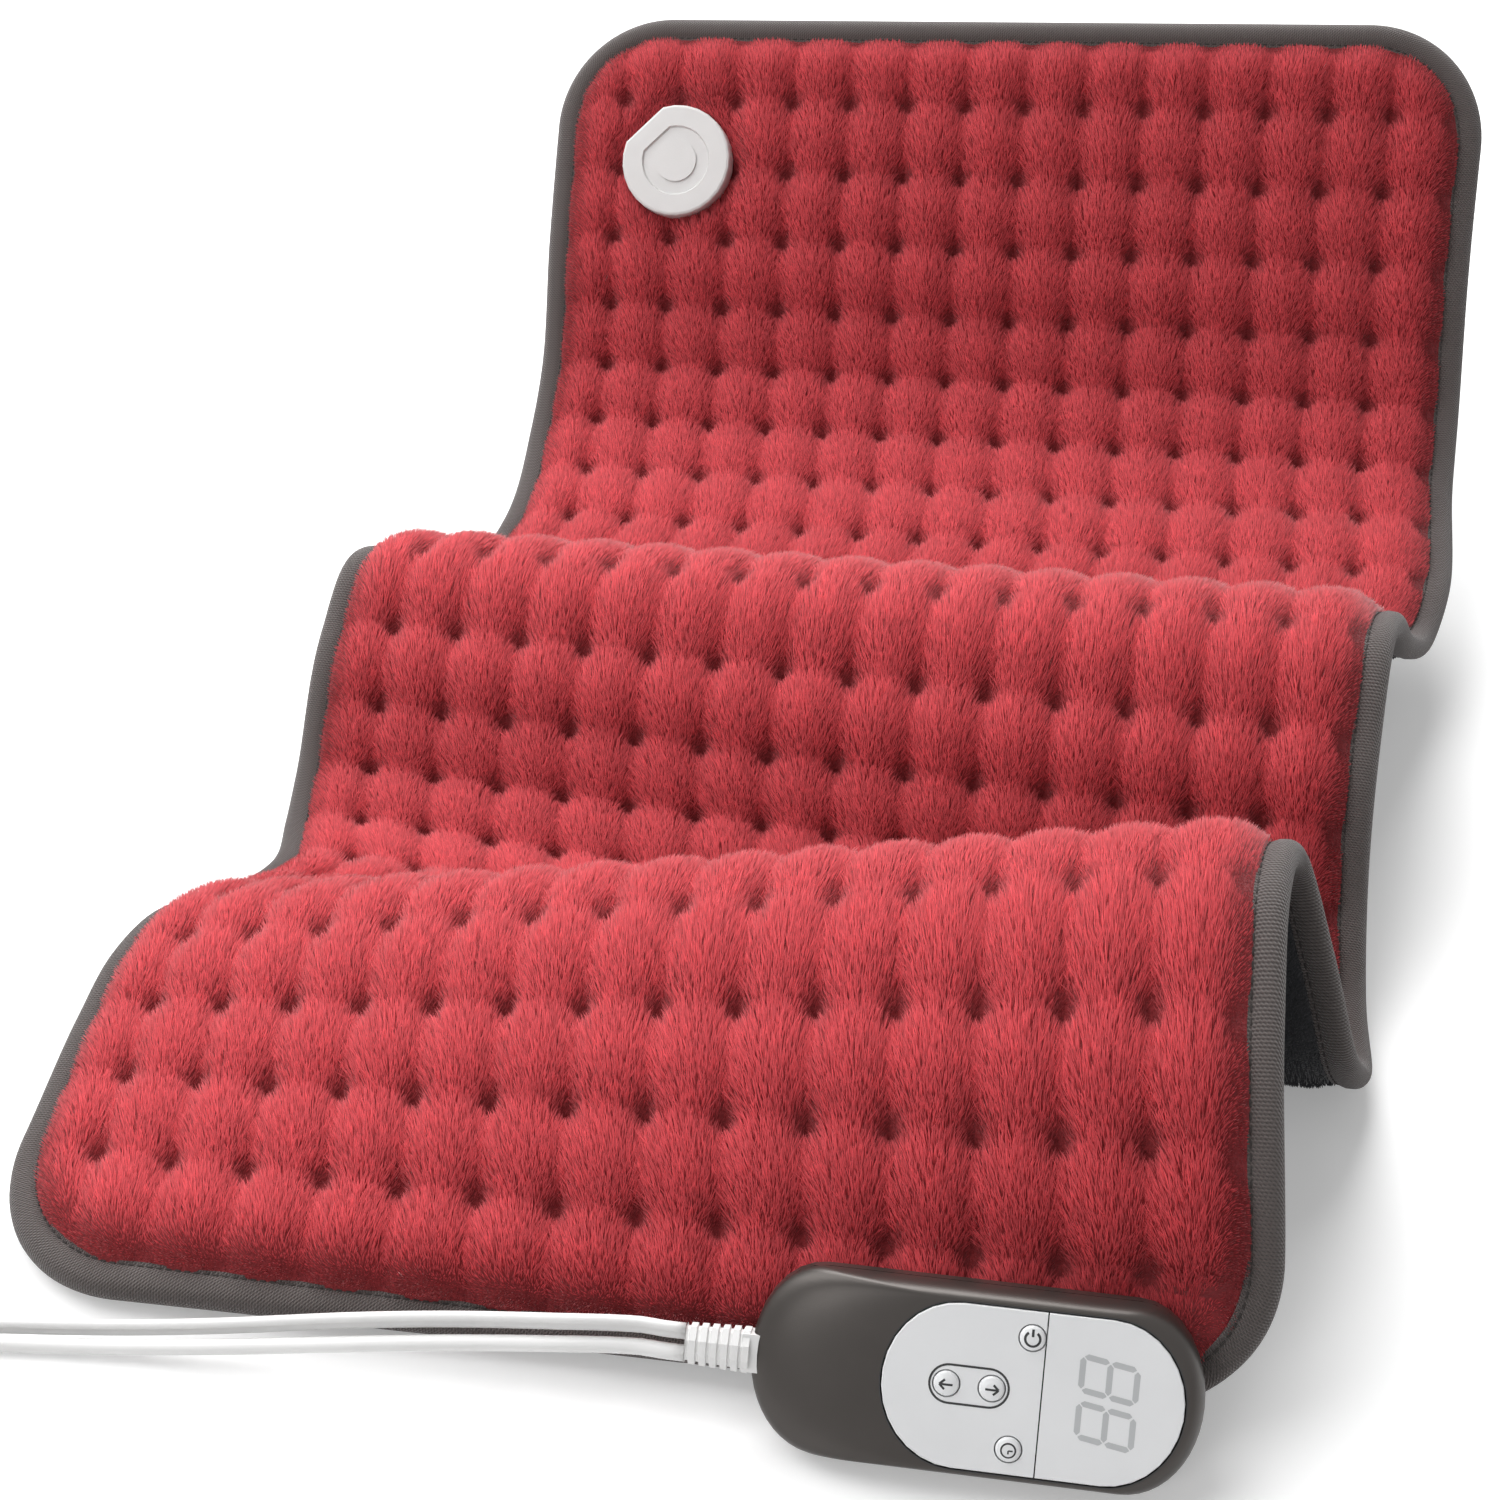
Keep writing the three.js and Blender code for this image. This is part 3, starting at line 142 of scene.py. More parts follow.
# Binding tape. Its hem's profile is given from the groove of the stitches and from the tape's top.
BINDING_WIDTH = 8.5
BINDING_TOP = 4.2
BINDING_BOTTOM = -3.3
BINDING_CLOTH = 0.9
BINDING_GROOVE = 1.4
BINDING_ROUND = 3.6
BINDING_INSIDE = 3.2
BINDING_TURNS = 13
BINDING_STEP = 2.0
HEM_PROFILE = [(BINDING_GROOVE, -0.7), (0.7, -0.3), (0, -0.7), (-0.7, -0.25), (-2, 0.1)]
HEM_PINCH = 0.5
RIBS_PER_MM = 0.45
TWILL_PER_MM = 0.62

# Stitches: each has a thickness at places along its own length.
STITCH_LENGTH = 1.5
STITCH_PITCH = 2.3
STITCH_RADIUS = 0.26
STITCH_SINK = 0.55
STITCH_SIDES = 6
STITCH_STEP = 1.0
STITCH_PROFILE = [(-0.5, 0.35), (-0.42, 0.8), (-0.2, 1), (0.2, 1), (0.42, 0.8), (0.5, 0.35)]

# Pad connector, and the plush pressed down round it.
CONNECTOR_PLACE = (45, 561)
CONNECTOR_RADIUS = 18.5
CONNECTOR_SEAT = 5.2
CONNECTOR_BASE_RADIUS = 17
PRESS_DEPTH = 1.2
PRESS_REACH = (-1, 7)

# Hand control: its own X runs along it, Y across it and Z out of its face.
HANDSET_PLACE = np.array([68, -1.5, 19.8])
HANDSET_LEAN = math.radians(55)
HANDSET_TURN = math.radians(4)
HANDSET_HALF = (49.5, 21)
HANDSET_END = 15.5
FACE_HEIGHT = 14.2
BODY_HEIGHT = 14
BODY_WALL = 2
BODY_CROWN = 2.1
BODY_RINGS = 17
PARTING_HEIGHT = 7.15
BODY_POINTS = (25, 18)
PLATE_LEFT = -20.2
PLATE_RIGHT = 44.8
PLATE_WIDTH = 36.5
PLATE_END = 16.5
PLATE_GAP = 0.3
# Width of the painted shadow line that stands for the dark gap round the plate.
PLATE_SHADOW_WIDTH = 0.25
DOME_RADIUS = 2.8
DOME_RISE = 0.9
DOME_PROFILE = [(0, 1), (0.5, 0.9), (0.86, 0.55), (1, 0)]
BUTTONS = {"power": (11.3, 12.4), "cooler": (-6.2, 0.3), "warmer": (3.6, 0.3), "timer": (8.3, -12.6)}

# Room that the soft pieces leave behind the hand control, and above the floor.
PLUSH_ROOM = 0.8
BACK_ROOM = 0.3
ROOT_ROOM = 1.0
TIP_ROOM = 0.5
HANDSET_MARGIN = (1, 9)
LAYER_LIFT = 0.3
BINDING_LIFT = 0.2
PILE_LIFT = 0.4

# Marks printed on the hand control.
PRINT_THICKNESS = 0.04
DIGIT_CENTRES = [(28.3, 5.2), (28.3, -5.1)]
DIGIT_SIZE = (13, 8.7)
SEGMENT_WIDTH = 1.3
SEGMENT_GAP = 0.3
SEGMENT_SLANT = 0.16
BAR_POINTS = 7
BAR_TIP = 0.12
ARROW_STROKE = 0.5
ARROW_TAIL = 1.4
ARROW_STEM = 1.2
ARROW_POINT = 1.5
ARROW_BARB = (0.35, 1.1)
CLOCK_RADIUS = 1.55
CLOCK_RIM = 0.38
CLOCK_HANDS = (1.0, 0.75)
CLOCK_STROKE = 0.34
POWER_RADIUS = 1.6
POWER_STROKE = 0.55
POWER_ARC = (125, 415)
POWER_BAR = (0.5, 2.1)
FRAME_SIZE = (17.6, 9.0)
FRAME_LINE = 0.5
FRAME_POINTS = (19, 2)

# Leads. The mains lead is a flat twin cord that stands on its edge.
PAD_LEAD_DIAMETER = 3.7
PAD_LEAD_SIDES = 16
MAINS_LEAD_WIDTH = 4.6
MAINS_LEAD_THICKNESS = 2.4
TWIN_ARC = 300
TWIN_SIDES = 9
CORD_STEP = 2.5
SPLINE_STEPS = 60
LEAD_START = (-64.4, 2.5, 7)
LEAD_GAP = 0.3
PAD_LEAD_ROUTE = [
    (-6, -13.2, 21.3), (-25, -15.6, 20), (-50, -18.6, 17.2), (-75, -21.6, 13.4),
    (-100, -24.8, 9.6), (-125, -28.2, 6.8), (-148, -31.6, 5.6), (-168, -35, 6), (-184, -37.4, 6.6),
]
MAINS_LEAD_ROUTE = [
    (-6, -10.3, 25.4), (-25, -12.3, 23.8), (-50, -14.6, 20.6), (-75, -17.4, 16.6),
    (-100, -20.6, 12), (-125, -24, 8.6), (-148, -27.4, 7), (-168, -30.6, 6.7), (-186, -32.8, 7.1),
]
COIL_LIFT = 1.7
COIL_SPACING = 0.6
COIL_STRAIGHT = 6
COIL_STEPS = 24
COIL_CLIMB = 0.25
PAD_COIL = {"centre": (-204, -64.2), "radius": 25.6, "turns": 5.25, "way": 1, "tail": 14}
MAINS_COIL = {"centre": (-216, 0), "radius": 33, "turns": 9.25, "way": -1, "tail": 20}

# Floor, in metres: its half size, and how far out it turns from showing shadows to plain white.
FLOOR_HALF = 6.0
FLOOR_NEAR = 0.5
FLOOR_FAR = 1.0
FLOOR_GREY = 0.88
FLOOR_GLOW = 0.27

# Light: the room's own, and disks by their place, what they face, their width and their power.
AMBIENT = 0.28
WHITE = (1, 1, 1, 1)
LIGHTS = {
    "key": ((-0.45, -0.02, 0.85), (0, 0.05, 0.05), 0.9, 5.5),
    "side": ((-1.3, -0.1, 1.3), (0, 0, 0.05), 1.8, 10),
    "top": ((-0.3, 1.2, 1.35), (0, 0, 0.05), 1.2, 32),
    "fill": ((-0.55, -1.45, 0.95), (0, -0.1, 0.05), 0.6, 4),
}

# Camera, at the photograph's place.
CAMERA_PLACE = (0.08802, -0.52871, 0.45375)
CAMERA_TURN = (math.radians(50.77), 0, math.radians(12.25))
CAMERA_LENS = 56.8
CAMERA_NEAR = 0.01

rng = np.random.default_rng(SEED)


def to_frame(points):
    """Points of the pad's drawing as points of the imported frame, in metres."""
    return (np.asarray(points, float) + FRAME_MOVE) * MM


def placed(name, data):
    """A new object in the scene."""
    made = bpy.data.objects.new(name, data)
    bpy.context.scene.collection.objects.link(made)
    return made


# Camera.
camera_data = bpy.data.cameras.new("camera")
camera_data.lens = CAMERA_LENS
camera_data.clip_start = CAMERA_NEAR
camera = placed("camera", camera_data)
camera.location = CAMERA_PLACE
camera.rotation_euler = CAMERA_TURN
bpy.context.scene.camera = camera


# Materials.
def new_material(name):
    material = bpy.data.materials.new(name)
    material.use_nodes = True
    return material, material.node_tree, material.node_tree.nodes["Principled BSDF"]


def fill(tree, made, **inputs):
    """Sets a node's inputs and settings by name, or links another node's output to an input."""
    for name, value in inputs.items():
        socket = name.replace("_", " ")
        if isinstance(value, bpy.types.NodeSocket):
            tree.links.new(value, made.inputs[socket])
        elif socket in made.inputs:
            made.inputs[socket].default_value = value
        else:
            setattr(made, name, value)


def node(tree, kind, **inputs):
    made = tree.nodes.new(kind)
    fill(tree, made, **inputs)
    return made


def combined(tree, operation, first, second):
    """A sum, or another operation on two values."""
    made = node(tree, "ShaderNodeMath", operation=operation)
    tree.links.new(first, made.inputs[0])
    tree.links.new(second, made.inputs[1])
    return made.outputs["Value"]


def mixed(tree, share, first, second):
    """Two shaders, mixed by the share of the second."""
    mix = node(tree, "ShaderNodeMixShader", Fac=share)
    tree.links.new(first, mix.inputs[1])
    tree.links.new(second, mix.inputs[2])
    return mix.outputs["Shader"]


def color_ramp(tree, source, low, high, start=0.0, end=1.0):
    """A colour that goes from low to high as the source goes from start to end."""
    ramp = node(tree, "ShaderNodeValToRGB", Fac=source)
    for element, place, color in zip(ramp.color_ramp.elements, (start, end), (low, high)):
        element.position = place
        element.color = (*color, 1)
    return ramp.outputs["Color"]


def noise(tree, scale, detail=3.0, roughness=0.5):
    """Noise over the object's own coordinates, in features per metre."""
    place = node(tree, "ShaderNodeTexCoord").outputs["Object"]
    made = node(tree, "ShaderNodeTexNoise", Vector=place, Scale=scale, Detail=detail, Roughness=roughness)
    return made.outputs["Fac"]


def bump(tree, shader, height, distance, strength=1.0):
    made = node(tree, "ShaderNodeBump", Height=height, Strength=strength, Distance=distance)
    fill(tree, shader, Normal=made.outputs["Normal"])


def moulded(name, low, high, roughness, grain=2500, depth=0.00003, metallic=0.0):
    """Moulded plastic: a fine grain in its surface, and a slight drift of its colour."""
    material, tree, shader = new_material(name)
    drift = color_ramp(tree, noise(tree, scale=40), low, high, start=0.35, end=0.65)
    fill(tree, shader, Base_Color=drift, Roughness=roughness, Metallic=metallic)
    bump(tree, shader, noise(tree, scale=grain, detail=2), distance=depth)
    return material


def pile(name, root, tip, glow, sheen):
    """Pile fibres: dark at the root as painted shade deep in the pile, light at the tip, each with a shade
    of its own, partly random and partly painted shade near the tufts.
    """
    material, tree, shader = new_material(name)
    along = node(tree, "ShaderNodeAttribute", attribute_name="tip").outputs["Fac"]
    shade = node(tree, "ShaderNodeAttribute", attribute_name="shade").outputs["Fac"]
    root_shade_ramp = color_ramp(tree, along, root, tip, end=0.85)
    color = node(tree, "ShaderNodeHueSaturation", Color=root_shade_ramp, Value=shade).outputs["Color"]
    fill(tree, shader, Base_Color=color, Roughness=0.75, Specular_IOR_Level=0.25)
    fill(tree, shader, Sheen_Weight=sheen, Sheen_Roughness=0.4, Sheen_Tint=(*glow, 1))
    through = node(tree, "ShaderNodeBsdfTranslucent", Color=color)
    both = mixed(tree, PILE_TRANSLUCENCE, shader.outputs["BSDF"], through.outputs["BSDF"])
    fill(tree, tree.nodes["Material Output"], Surface=both)
    return material


def backing(name, low, high):
    """The cloth that the pile grows from."""
    material, tree, shader = new_material(name)
    fleck = noise(tree, scale=900, detail=4, roughness=0.6)
    color = color_ramp(tree, fleck, low, high, start=0.3, end=0.7)
    fill(tree, shader, Base_Color=color, Roughness=0.95, Sheen_Weight=0.3)
    bump(tree, shader, noise(tree, scale=1600), distance=0.0004)
    return material


def woven_tape(name, low, high):
    """Binding tape: ribs across it and a fine twill, from the tape's own coordinates in mm, darker where
    the weave lies low as painted shade in its grooves.
    """
    material, tree, shader = new_material(name)
    tape = node(tree, "ShaderNodeAttribute", attribute_name="tape").outputs["Vector"]
    ribs = node(tree, "ShaderNodeTexWave", bands_direction="X", Vector=tape, Scale=RIBS_PER_MM)
    fill(tree, ribs, Distortion=0.6, Detail_Scale=2.0)
    twill = node(tree, "ShaderNodeTexWave", bands_direction="DIAGONAL", Vector=tape, Scale=TWILL_PER_MM)
    height = combined(tree, "ADD", ribs.outputs["Fac"], twill.outputs["Fac"])
    # Painted shade: the tape is coloured darker where the weave lies low, in the grooves between ribs and
    # twill lines.
    thread = color_ramp(tree, height, low, high, start=0.3)
    fill(tree, shader, Base_Color=thread, Roughness=0.8, Sheen_Weight=0.25)
    bump(tree, shader, height, distance=0.0003, strength=0.7)
    return material


def metal(name, color, smoothest, roughest):
    """Bare metal, whose roughness wanders between two values."""
    material, tree, shader = new_material(name)
    wear = node(tree, "ShaderNodeMapRange", Value=noise(tree, 800), To_Min=smoothest, To_Max=roughest)
    fill(tree, shader, Base_Color=(*color, 1), Metallic=1, Roughness=wear.outputs["Result"])
    return material


# Each pile goes from a dark root to a light tip: painted shade deep in the pile.
plush_pile = pile("plush pile", (0.44, 0.018, 0.025), (0.76, 0.102, 0.120), (1.0, 0.72, 0.72), sheen=1.0)
back_pile = pile("back pile", (0.008, 0.008, 0.010), (0.050, 0.050, 0.056), (0.05, 0.05, 0.056), sheen=0.25)
stitch_thread = moulded("stitch thread", (0.020, 0.016, 0.015), (0.035, 0.029, 0.027), 0.8)
white_rubber = moulded("white rubber", (0.74, 0.735, 0.73), (0.80, 0.795, 0.79), 0.5, grain=1200)
# Dark ink for the printed marks, also used as the painted shadow line round the plate's gap.
dark_print_and_shadow = moulded("dark print and painted shadow", (0.012, 0.012, 0.013), (0.02, 0.02, 0.021), 0.5)
segment_print = moulded("segment print", (0.47, 0.48, 0.49), (0.50, 0.51, 0.52), 0.35)

SLOT_MATERIALS = {
    # The plush's backing is coloured darker than its pile: painted shade at the pile's base and in the
    # tufts' pits.
    "plush": backing("plush backing", (0.16, 0.008, 0.012), (0.24, 0.014, 0.018)),
    "back_fabric": backing("back backing", (0.008, 0.008, 0.010), (0.020, 0.020, 0.023)),
    "binding": woven_tape("binding tape", (0.036, 0.028, 0.026), (0.080, 0.064, 0.060)),
    "felt": backing("felt", (0.55, 0.52, 0.45), (0.70, 0.67, 0.60)),
    "wire": moulded("wire jacket", (0.44, 0.42, 0.39), (0.50, 0.48, 0.45), 0.5),
    "white_plastic": moulded("white plastic", (0.56, 0.55, 0.543), (0.60, 0.59, 0.584), 0.42),
    "body_plastic": moulded(
        "body plastic", (0.046, 0.040, 0.036), (0.053, 0.046, 0.042), 0.34,
        grain=4000, depth=0.00002, metallic=0.5,
    ),
    "face_plastic": moulded(
        "face plastic", (0.79, 0.795, 0.805), (0.82, 0.825, 0.835), 0.3, grain=3000, depth=0.00001
    ),
    "board": moulded("board resist", (0.012, 0.09, 0.03), (0.016, 0.12, 0.04), 0.4),
    "black_plastic": moulded("black plastic", (0.010, 0.010, 0.011), (0.016, 0.016, 0.017), 0.45),
    "steel": metal("zinc", (0.62, 0.63, 0.65), smoothest=0.21, roughest=0.42),
    "brass": metal("brass", (0.72, 0.52, 0.22), smoothest=0.196, roughest=0.392),
    "cord": moulded("cord jacket", (0.74, 0.735, 0.73), (0.79, 0.785, 0.78), 0.38, grain=900),
    "tie": moulded("strap", (0.018, 0.018, 0.019), (0.03, 0.03, 0.031), 0.7, grain=1500, depth=0.0001),
    "ceramic": moulded("ceramic", (0.66, 0.63, 0.56), (0.72, 0.69, 0.62), 0.6),
}


# Meshes.
def add_piece(name, mesh, slot, material=None, body=ROOT):
    """A piece of that mesh, riding on a body, in its slot's material or in one of its own."""
    mesh.materials.append(material or SLOT_MATERIALS[slot])
    piece = placed(name, mesh)
    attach(piece, body)
    return piece


def mesh_piece(name, points, faces, slot, material=None, body=ROOT):
    """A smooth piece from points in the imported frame."""
    mesh = bpy.data.meshes.new(name)
    mesh.from_pydata([tuple(point) for point in points], [], [tuple(face) for face in faces])
    mesh.polygons.foreach_set("use_smooth", [True] * len(mesh.polygons))
    mesh.update()
    return add_piece(name, mesh, slot, material, body)


def keep_edges(piece):
    """Keeps the edges sharp at which faces meet at more than the smoothing angle."""
    piece.modifiers.new("edges", "EDGE_SPLIT").split_angle = SMOOTH_ANGLE


def grid_faces(rows, columns, start=0, flip=False):
    """Quads of a grid whose points are stored row by row."""
    row, column = np.meshgrid(np.arange(rows - 1), np.arange(columns - 1), indexing="ij")
    first = start + row * columns + column
    quads = np.stack([first, first + 1, first + columns + 1, first + columns], -1).reshape(-1, 4)
    return quads[:, ::-1] if flip else quads


def tube_faces(rings, sides, closed=False):
    """Quads between rings of equal counts, closed to a loop or with a face at each end."""
    faces = []
    for i in range(rings if closed else rings - 1):
        here, there = i * sides, (i + 1) % rings * sides
        for side in range(sides):
            after = (side + 1) % sides
            faces.append((here + side, here + after, there + after, there + side))
    if not closed:
        faces.append(tuple(reversed(range(sides))))
        faces.append(tuple(range((rings - 1) * sides, rings * sides)))
    return faces


def unit(vectors):
    return vectors / np.linalg.norm(vectors, axis=-1, keepdims=True)


def on_circle(angles):
    return np.stack([np.cos(angles), np.sin(angles)], 1)


def smoothstep(value, low, high):
    t = np.clip((value - low) / (high - low), 0, 1)
    return t * t * (3 - 2 * t)


def travelled(line):
    """The distance along a line at each of its points."""
    steps = np.linalg.norm(np.diff(line, axis=0), axis=1)
    return np.concatenate([[0], np.cumsum(steps)])


def points_at(line, travel, places):
    """Points of a line at distances along it."""
    return np.stack([np.interp(places, travel, line[:, axis]) for axis in range(3)], 1)


def swept(path, section):
    """Rings of a section carried along a path, its own Y kept upright."""
    path = np.asarray(path, float)
    forward = unit(np.gradient(path, axis=0))
    up = unit(np.array([0, 0, 1]) - forward * forward[:, 2:])
    side = np.cross(up, forward)
    x, y = np.asarray(section, float).T
    return path[:, None] + side[:, None] * x[None, :, None] + up[:, None] * y[None, :, None]


# Hand control's frame.
handset_x = np.array([math.cos(HANDSET_TURN), math.sin(HANDSET_TURN), 0])
handset_back = np.array([-math.sin(HANDSET_TURN), math.cos(HANDSET_TURN), 0])
handset_y = handset_back * math.cos(HANDSET_LEAN) + np.array([0, 0, math.sin(HANDSET_LEAN)])
handset_axes = np.array([handset_x, handset_y, np.cross(handset_x, handset_y)])


def from_handset(points):
    return np.asarray(points, float) @ handset_axes + HANDSET_PLACE


def to_handset(points):
    return (np.asarray(points, float) - HANDSET_PLACE) @ handset_axes.T


# Cords.
def smooth_route(points, step):
    """A centripetal spline through the points, as points a step apart."""
    points = np.asarray(points, float)
    before = 2 * points[0] - points[1]
    beyond = 2 * points[-1] - points[-2]
    all_points = np.vstack([before, points, beyond])
    reaches = np.sqrt(np.linalg.norm(np.diff(all_points, axis=0), axis=1))
    knots = np.concatenate([[0], np.cumsum(reaches)])
    dense = []
    for i in range(1, len(all_points) - 2):
        place = np.linspace(knots[i], knots[i + 1], SPLINE_STEPS, endpoint=False)[:, None]
        blend = all_points[i - 1 : i + 3]
        knot = knots[i - 1 : i + 3]
        for level in range(1, 4):
            shares = [(place - knot[j]) / (knot[j + level] - knot[j]) for j in range(4 - level)]
            blend = [(1 - share) * blend[j] + share * blend[j + 1] for j, share in enumerate(shares)]
        dense.append(blend[0])
    dense = np.vstack([*dense, points[-1:]])
    travel = travelled(dense)
    return points_at(dense, travel, np.linspace(0, travel[-1], round(travel[-1] / step) + 1))


def coil_route(shape, thickness, width):
    """A cord wound in on the floor and out again on top of it, with a straight start and end."""
    turns, way = shape["turns"], shape["way"]
    pitch = thickness + COIL_SPACING
    turn = np.linspace(0, turns, round(turns * COIL_STEPS) + 1)
    from_middle = np.abs(turn - turns / 2)
    climb = smoothstep(turn, turns / 2 - COIL_CLIMB, turns / 2 + COIL_CLIMB)
    dip = pitch / 2 * (1 - smoothstep(from_middle, COIL_CLIMB, 2 * COIL_CLIMB))
    angle = way * (math.pi / 2 + 2 * math.pi * turn)
    reach = shape["radius"] - pitch * np.minimum(turn, turns - turn) - dip
    height = FLOOR + COIL_LIFT + width / 2 + (width + COIL_SPACING) * climb
    points = np.column_stack([shape["centre"] + reach[:, None] * on_circle(angle), height])
    ways = way * np.stack([-np.sin(angle), np.cos(angle), 0 * angle], 1)
    start = points[0] - ways[0] * COIL_STRAIGHT
    end = points[-1] + ways[-1] * shape["tail"]
    return np.vstack([start, points, end]), ways[0]


def cord_path(side, route, shape, thickness, width):
    """A lead from the strain relief, along its route and through its coil."""
    start = from_handset([LEAD_START[0], side * LEAD_START[1], LEAD_START[2]])
    coil, coil_way = coil_route(shape, thickness, width)
    first = start - handset_x * width
    last = coil[0] - coil_way * LEAD_GAP
    before = last - coil_way * width
    lead = smooth_route([start, first, *route, before, last], CORD_STEP)
    return np.vstack([lead, coil])


def round_section(diameter):
    angles = 2 * math.pi * (np.arange(PAD_LEAD_SIDES) + 0.5) / PAD_LEAD_SIDES
    return diameter / 2 * on_circle(angles)


def twin_section(thickness, width):
    """Two round cores, one above the other, joined by a narrow web."""
    radius = width / 4
    cores = []
    for end, middle in ((1, 90), (-1, 270)):
        angles = np.radians(np.linspace(middle - TWIN_ARC / 2, middle + TWIN_ARC / 2, TWIN_SIDES))
        cores.append(on_circle(angles) * [thickness / 2, radius] + [0, end * radius])
    return np.vstack(cores)


def cord_piece(lead, path, section):
    """One lead from the hand control to its plug, which lies on the coil with its contacts and tie."""
    points = to_frame(swept(path, section).reshape(-1, 3))
    piece = mesh_piece(f"{lead}_cord", points, tube_faces(len(path), len(section)), "cord")
    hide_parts(f"{lead}_lead", f"{lead}_lead_coil")


cord_piece(
    "pad",
    cord_path(-1, PAD_LEAD_ROUTE, PAD_COIL, PAD_LEAD_DIAMETER, PAD_LEAD_DIAMETER),
    round_section(PAD_LEAD_DIAMETER),
)
cord_piece(
    "mains",
    cord_path(1, MAINS_LEAD_ROUTE, MAINS_COIL, MAINS_LEAD_THICKNESS, MAINS_LEAD_WIDTH),
    twin_section(MAINS_LEAD_THICKNESS, MAINS_LEAD_WIDTH),
)


# The draped sheet.
stops, left_edge, right_edge = (np.array(column, float) for column in zip(*DRAPE))


def edge_slopes(points):
    span = np.diff(stops)[:, None]
    rise = np.diff(points, axis=0) / span
    inner = (rise[1:] * span[:-1] + rise[:-1] * span[1:]) / (span[:-1] + span[1:])
    return np.vstack([rise[:1], inner, rise[-1:]])


def edge_points(points, along):
    """Points of one edge at distances from the pad's front, straight on beyond its ends."""
    slopes = edge_slopes(points)
    inside = np.clip(along, stops[0], stops[-1])
    i = np.clip(np.searchsorted(stops, inside, side="right") - 1, 0, len(stops) - 2)
    span = stops[i + 1] - stops[i]
    t = ((inside - stops[i]) / span)[:, None]
    span = span[:, None]
    curve = (
        (1 + 2 * t) * (1 - t) ** 2 * points[i]
        + span * t * (1 - t) ** 2 * slopes[i]
        + t * t * (3 - 2 * t) * points[i + 1]
        + span * t * t * (t - 1) * slopes[i + 1]
    )
    beyond = (along - inside)[:, None]
    return curve + beyond * np.where(beyond < 0, slopes[0], slopes[-1])


def sheet_points(across, along):
    left = edge_points(left_edge, along)
    right = edge_points(right_edge, along)
    side = unit(right - left)
    return (left + right) / 2 + side * (across - PAD_WIDTH / 2)[:, None], side


def draped(flat):
    """Points given flat, as across, along and height, where the pad's folds carry them."""
    across, along, height = np.asarray(flat, float).T
    middle, side = sheet_points(across, along)
    ahead = sheet_points(across, along + SLOPE_STEP)[0] - sheet_points(across, along - SLOPE_STEP)[0]
    normal = unit(np.cross(side, ahead))
    return middle + normal * height[:, None]


def edge_distance(across, along):
    """How far a place lies inside the pad's rounded outline."""
    half = np.array([PAD_WIDTH / 2, PAD_LENGTH / 2]) - CORNER_RADIUS
    x = np.abs(across - PAD_WIDTH / 2) - half[0]
    y = np.abs(along - PAD_LENGTH / 2) - half[1]
    outside = np.hypot(np.maximum(x, 0), np.maximum(y, 0))
    return CORNER_RADIUS - outside - np.minimum(np.maximum(x, y), 0)


def edge_roll(across, along):
    """From 0 at a layer's edge to 1 where it has its full height."""
    inside = np.clip((edge_distance(across, along) - BINDING_WIDTH + TUCK) / EDGE_ROLL, 0, 1)
    return inside * (2 - inside)


def side_inset(inset, along):
    """How far the side of an outline at that inset lies from the pad's side."""
    reach = np.maximum(CORNER_RADIUS - np.minimum(along, PAD_LENGTH - along), 0)
    return CORNER_RADIUS - np.sqrt(np.maximum((CORNER_RADIUS - inset) ** 2 - reach**2, 0))


def from_connector(across, along):
    return np.hypot(across - CONNECTOR_PLACE[0], along - CONNECTOR_PLACE[1])


def wrinkles(across, along, size, seed):
    """A gentle unevenness from a few long waves."""
    waves = np.random.default_rng(seed).uniform(*WAVE_SPREAD, (WAVE_COUNT, 4))
    total = 0
    for slant, pace, start, rise in waves:
        phase = across / size * (slant - 1) * WAVE_SLANT + along / size * pace + WAVE_START * start
        total = total + np.sin(phase) * rise
    return total / WAVE_COUNT


def plush_skin(across, along):
    """Height of the plush's backing: ribs between the columns of tufts, a pit at each tuft."""
    from_ribs, from_tuft = [], []
    for place, first, pitch, count, power in zip(
        (across, along), TUFT_FIRST, TUFT_PITCH, TUFT_COUNT, RIB_POWERS
    ):
        last = first + (count - 1) * pitch
        steps = (np.clip(place, first - pitch / 2, last + pitch / 2) - first) / pitch
        from_ribs.append(1 - np.abs(np.sin(math.pi * steps)) ** power)
        from_tuft.append((steps - np.round(steps)) * pitch)
    column, row = from_ribs
    valley = column * (COLUMN_SHARE + (1 - COLUMN_SHARE) * row) + ROW_SHARE * row * (1 - column)
    x, y = from_tuft
    pit = np.exp(-(x * x + PIT_STRETCH * y * y) / (2 * PIT_RADIUS**2))
    uneven = SKIN_WAVE_HEIGHT * wrinkles(across, along, **SKIN_WAVES)
    height = SKIN_TOP - VALLEY_DEPTH * valley - PIT_DEPTH * pit + uneven
    low = PLUSH_BOTTOM + SKIN_EDGE
    height = low + (height - low) * edge_roll(across, along)
    pressed = 1 - smoothstep(from_connector(across, along) - CONNECTOR_RADIUS, *PRESS_REACH)
    return height + (np.minimum(height, CONNECTOR_SEAT - PRESS_DEPTH) - height) * pressed


def back_skin(across, along):
    """Height of the back's cloth, which rolls in towards the pad's edge."""
    return BACK_EDGE + (BACK_BOTTOM - BACK_EDGE) * edge_roll(across, along)


def clear_of_tufts(across, along):
    """From 0 at a tuft's thread to 1 where the pile stands free."""
    offsets = []
    for place, first, pitch in zip((across, along), TUFT_FIRST, TUFT_PITCH):
        steps = (place - first) / pitch
        offsets.append((steps - np.round(steps)) * pitch)
    return smoothstep(np.hypot(*offsets), 0, TUFT_CLEARING)


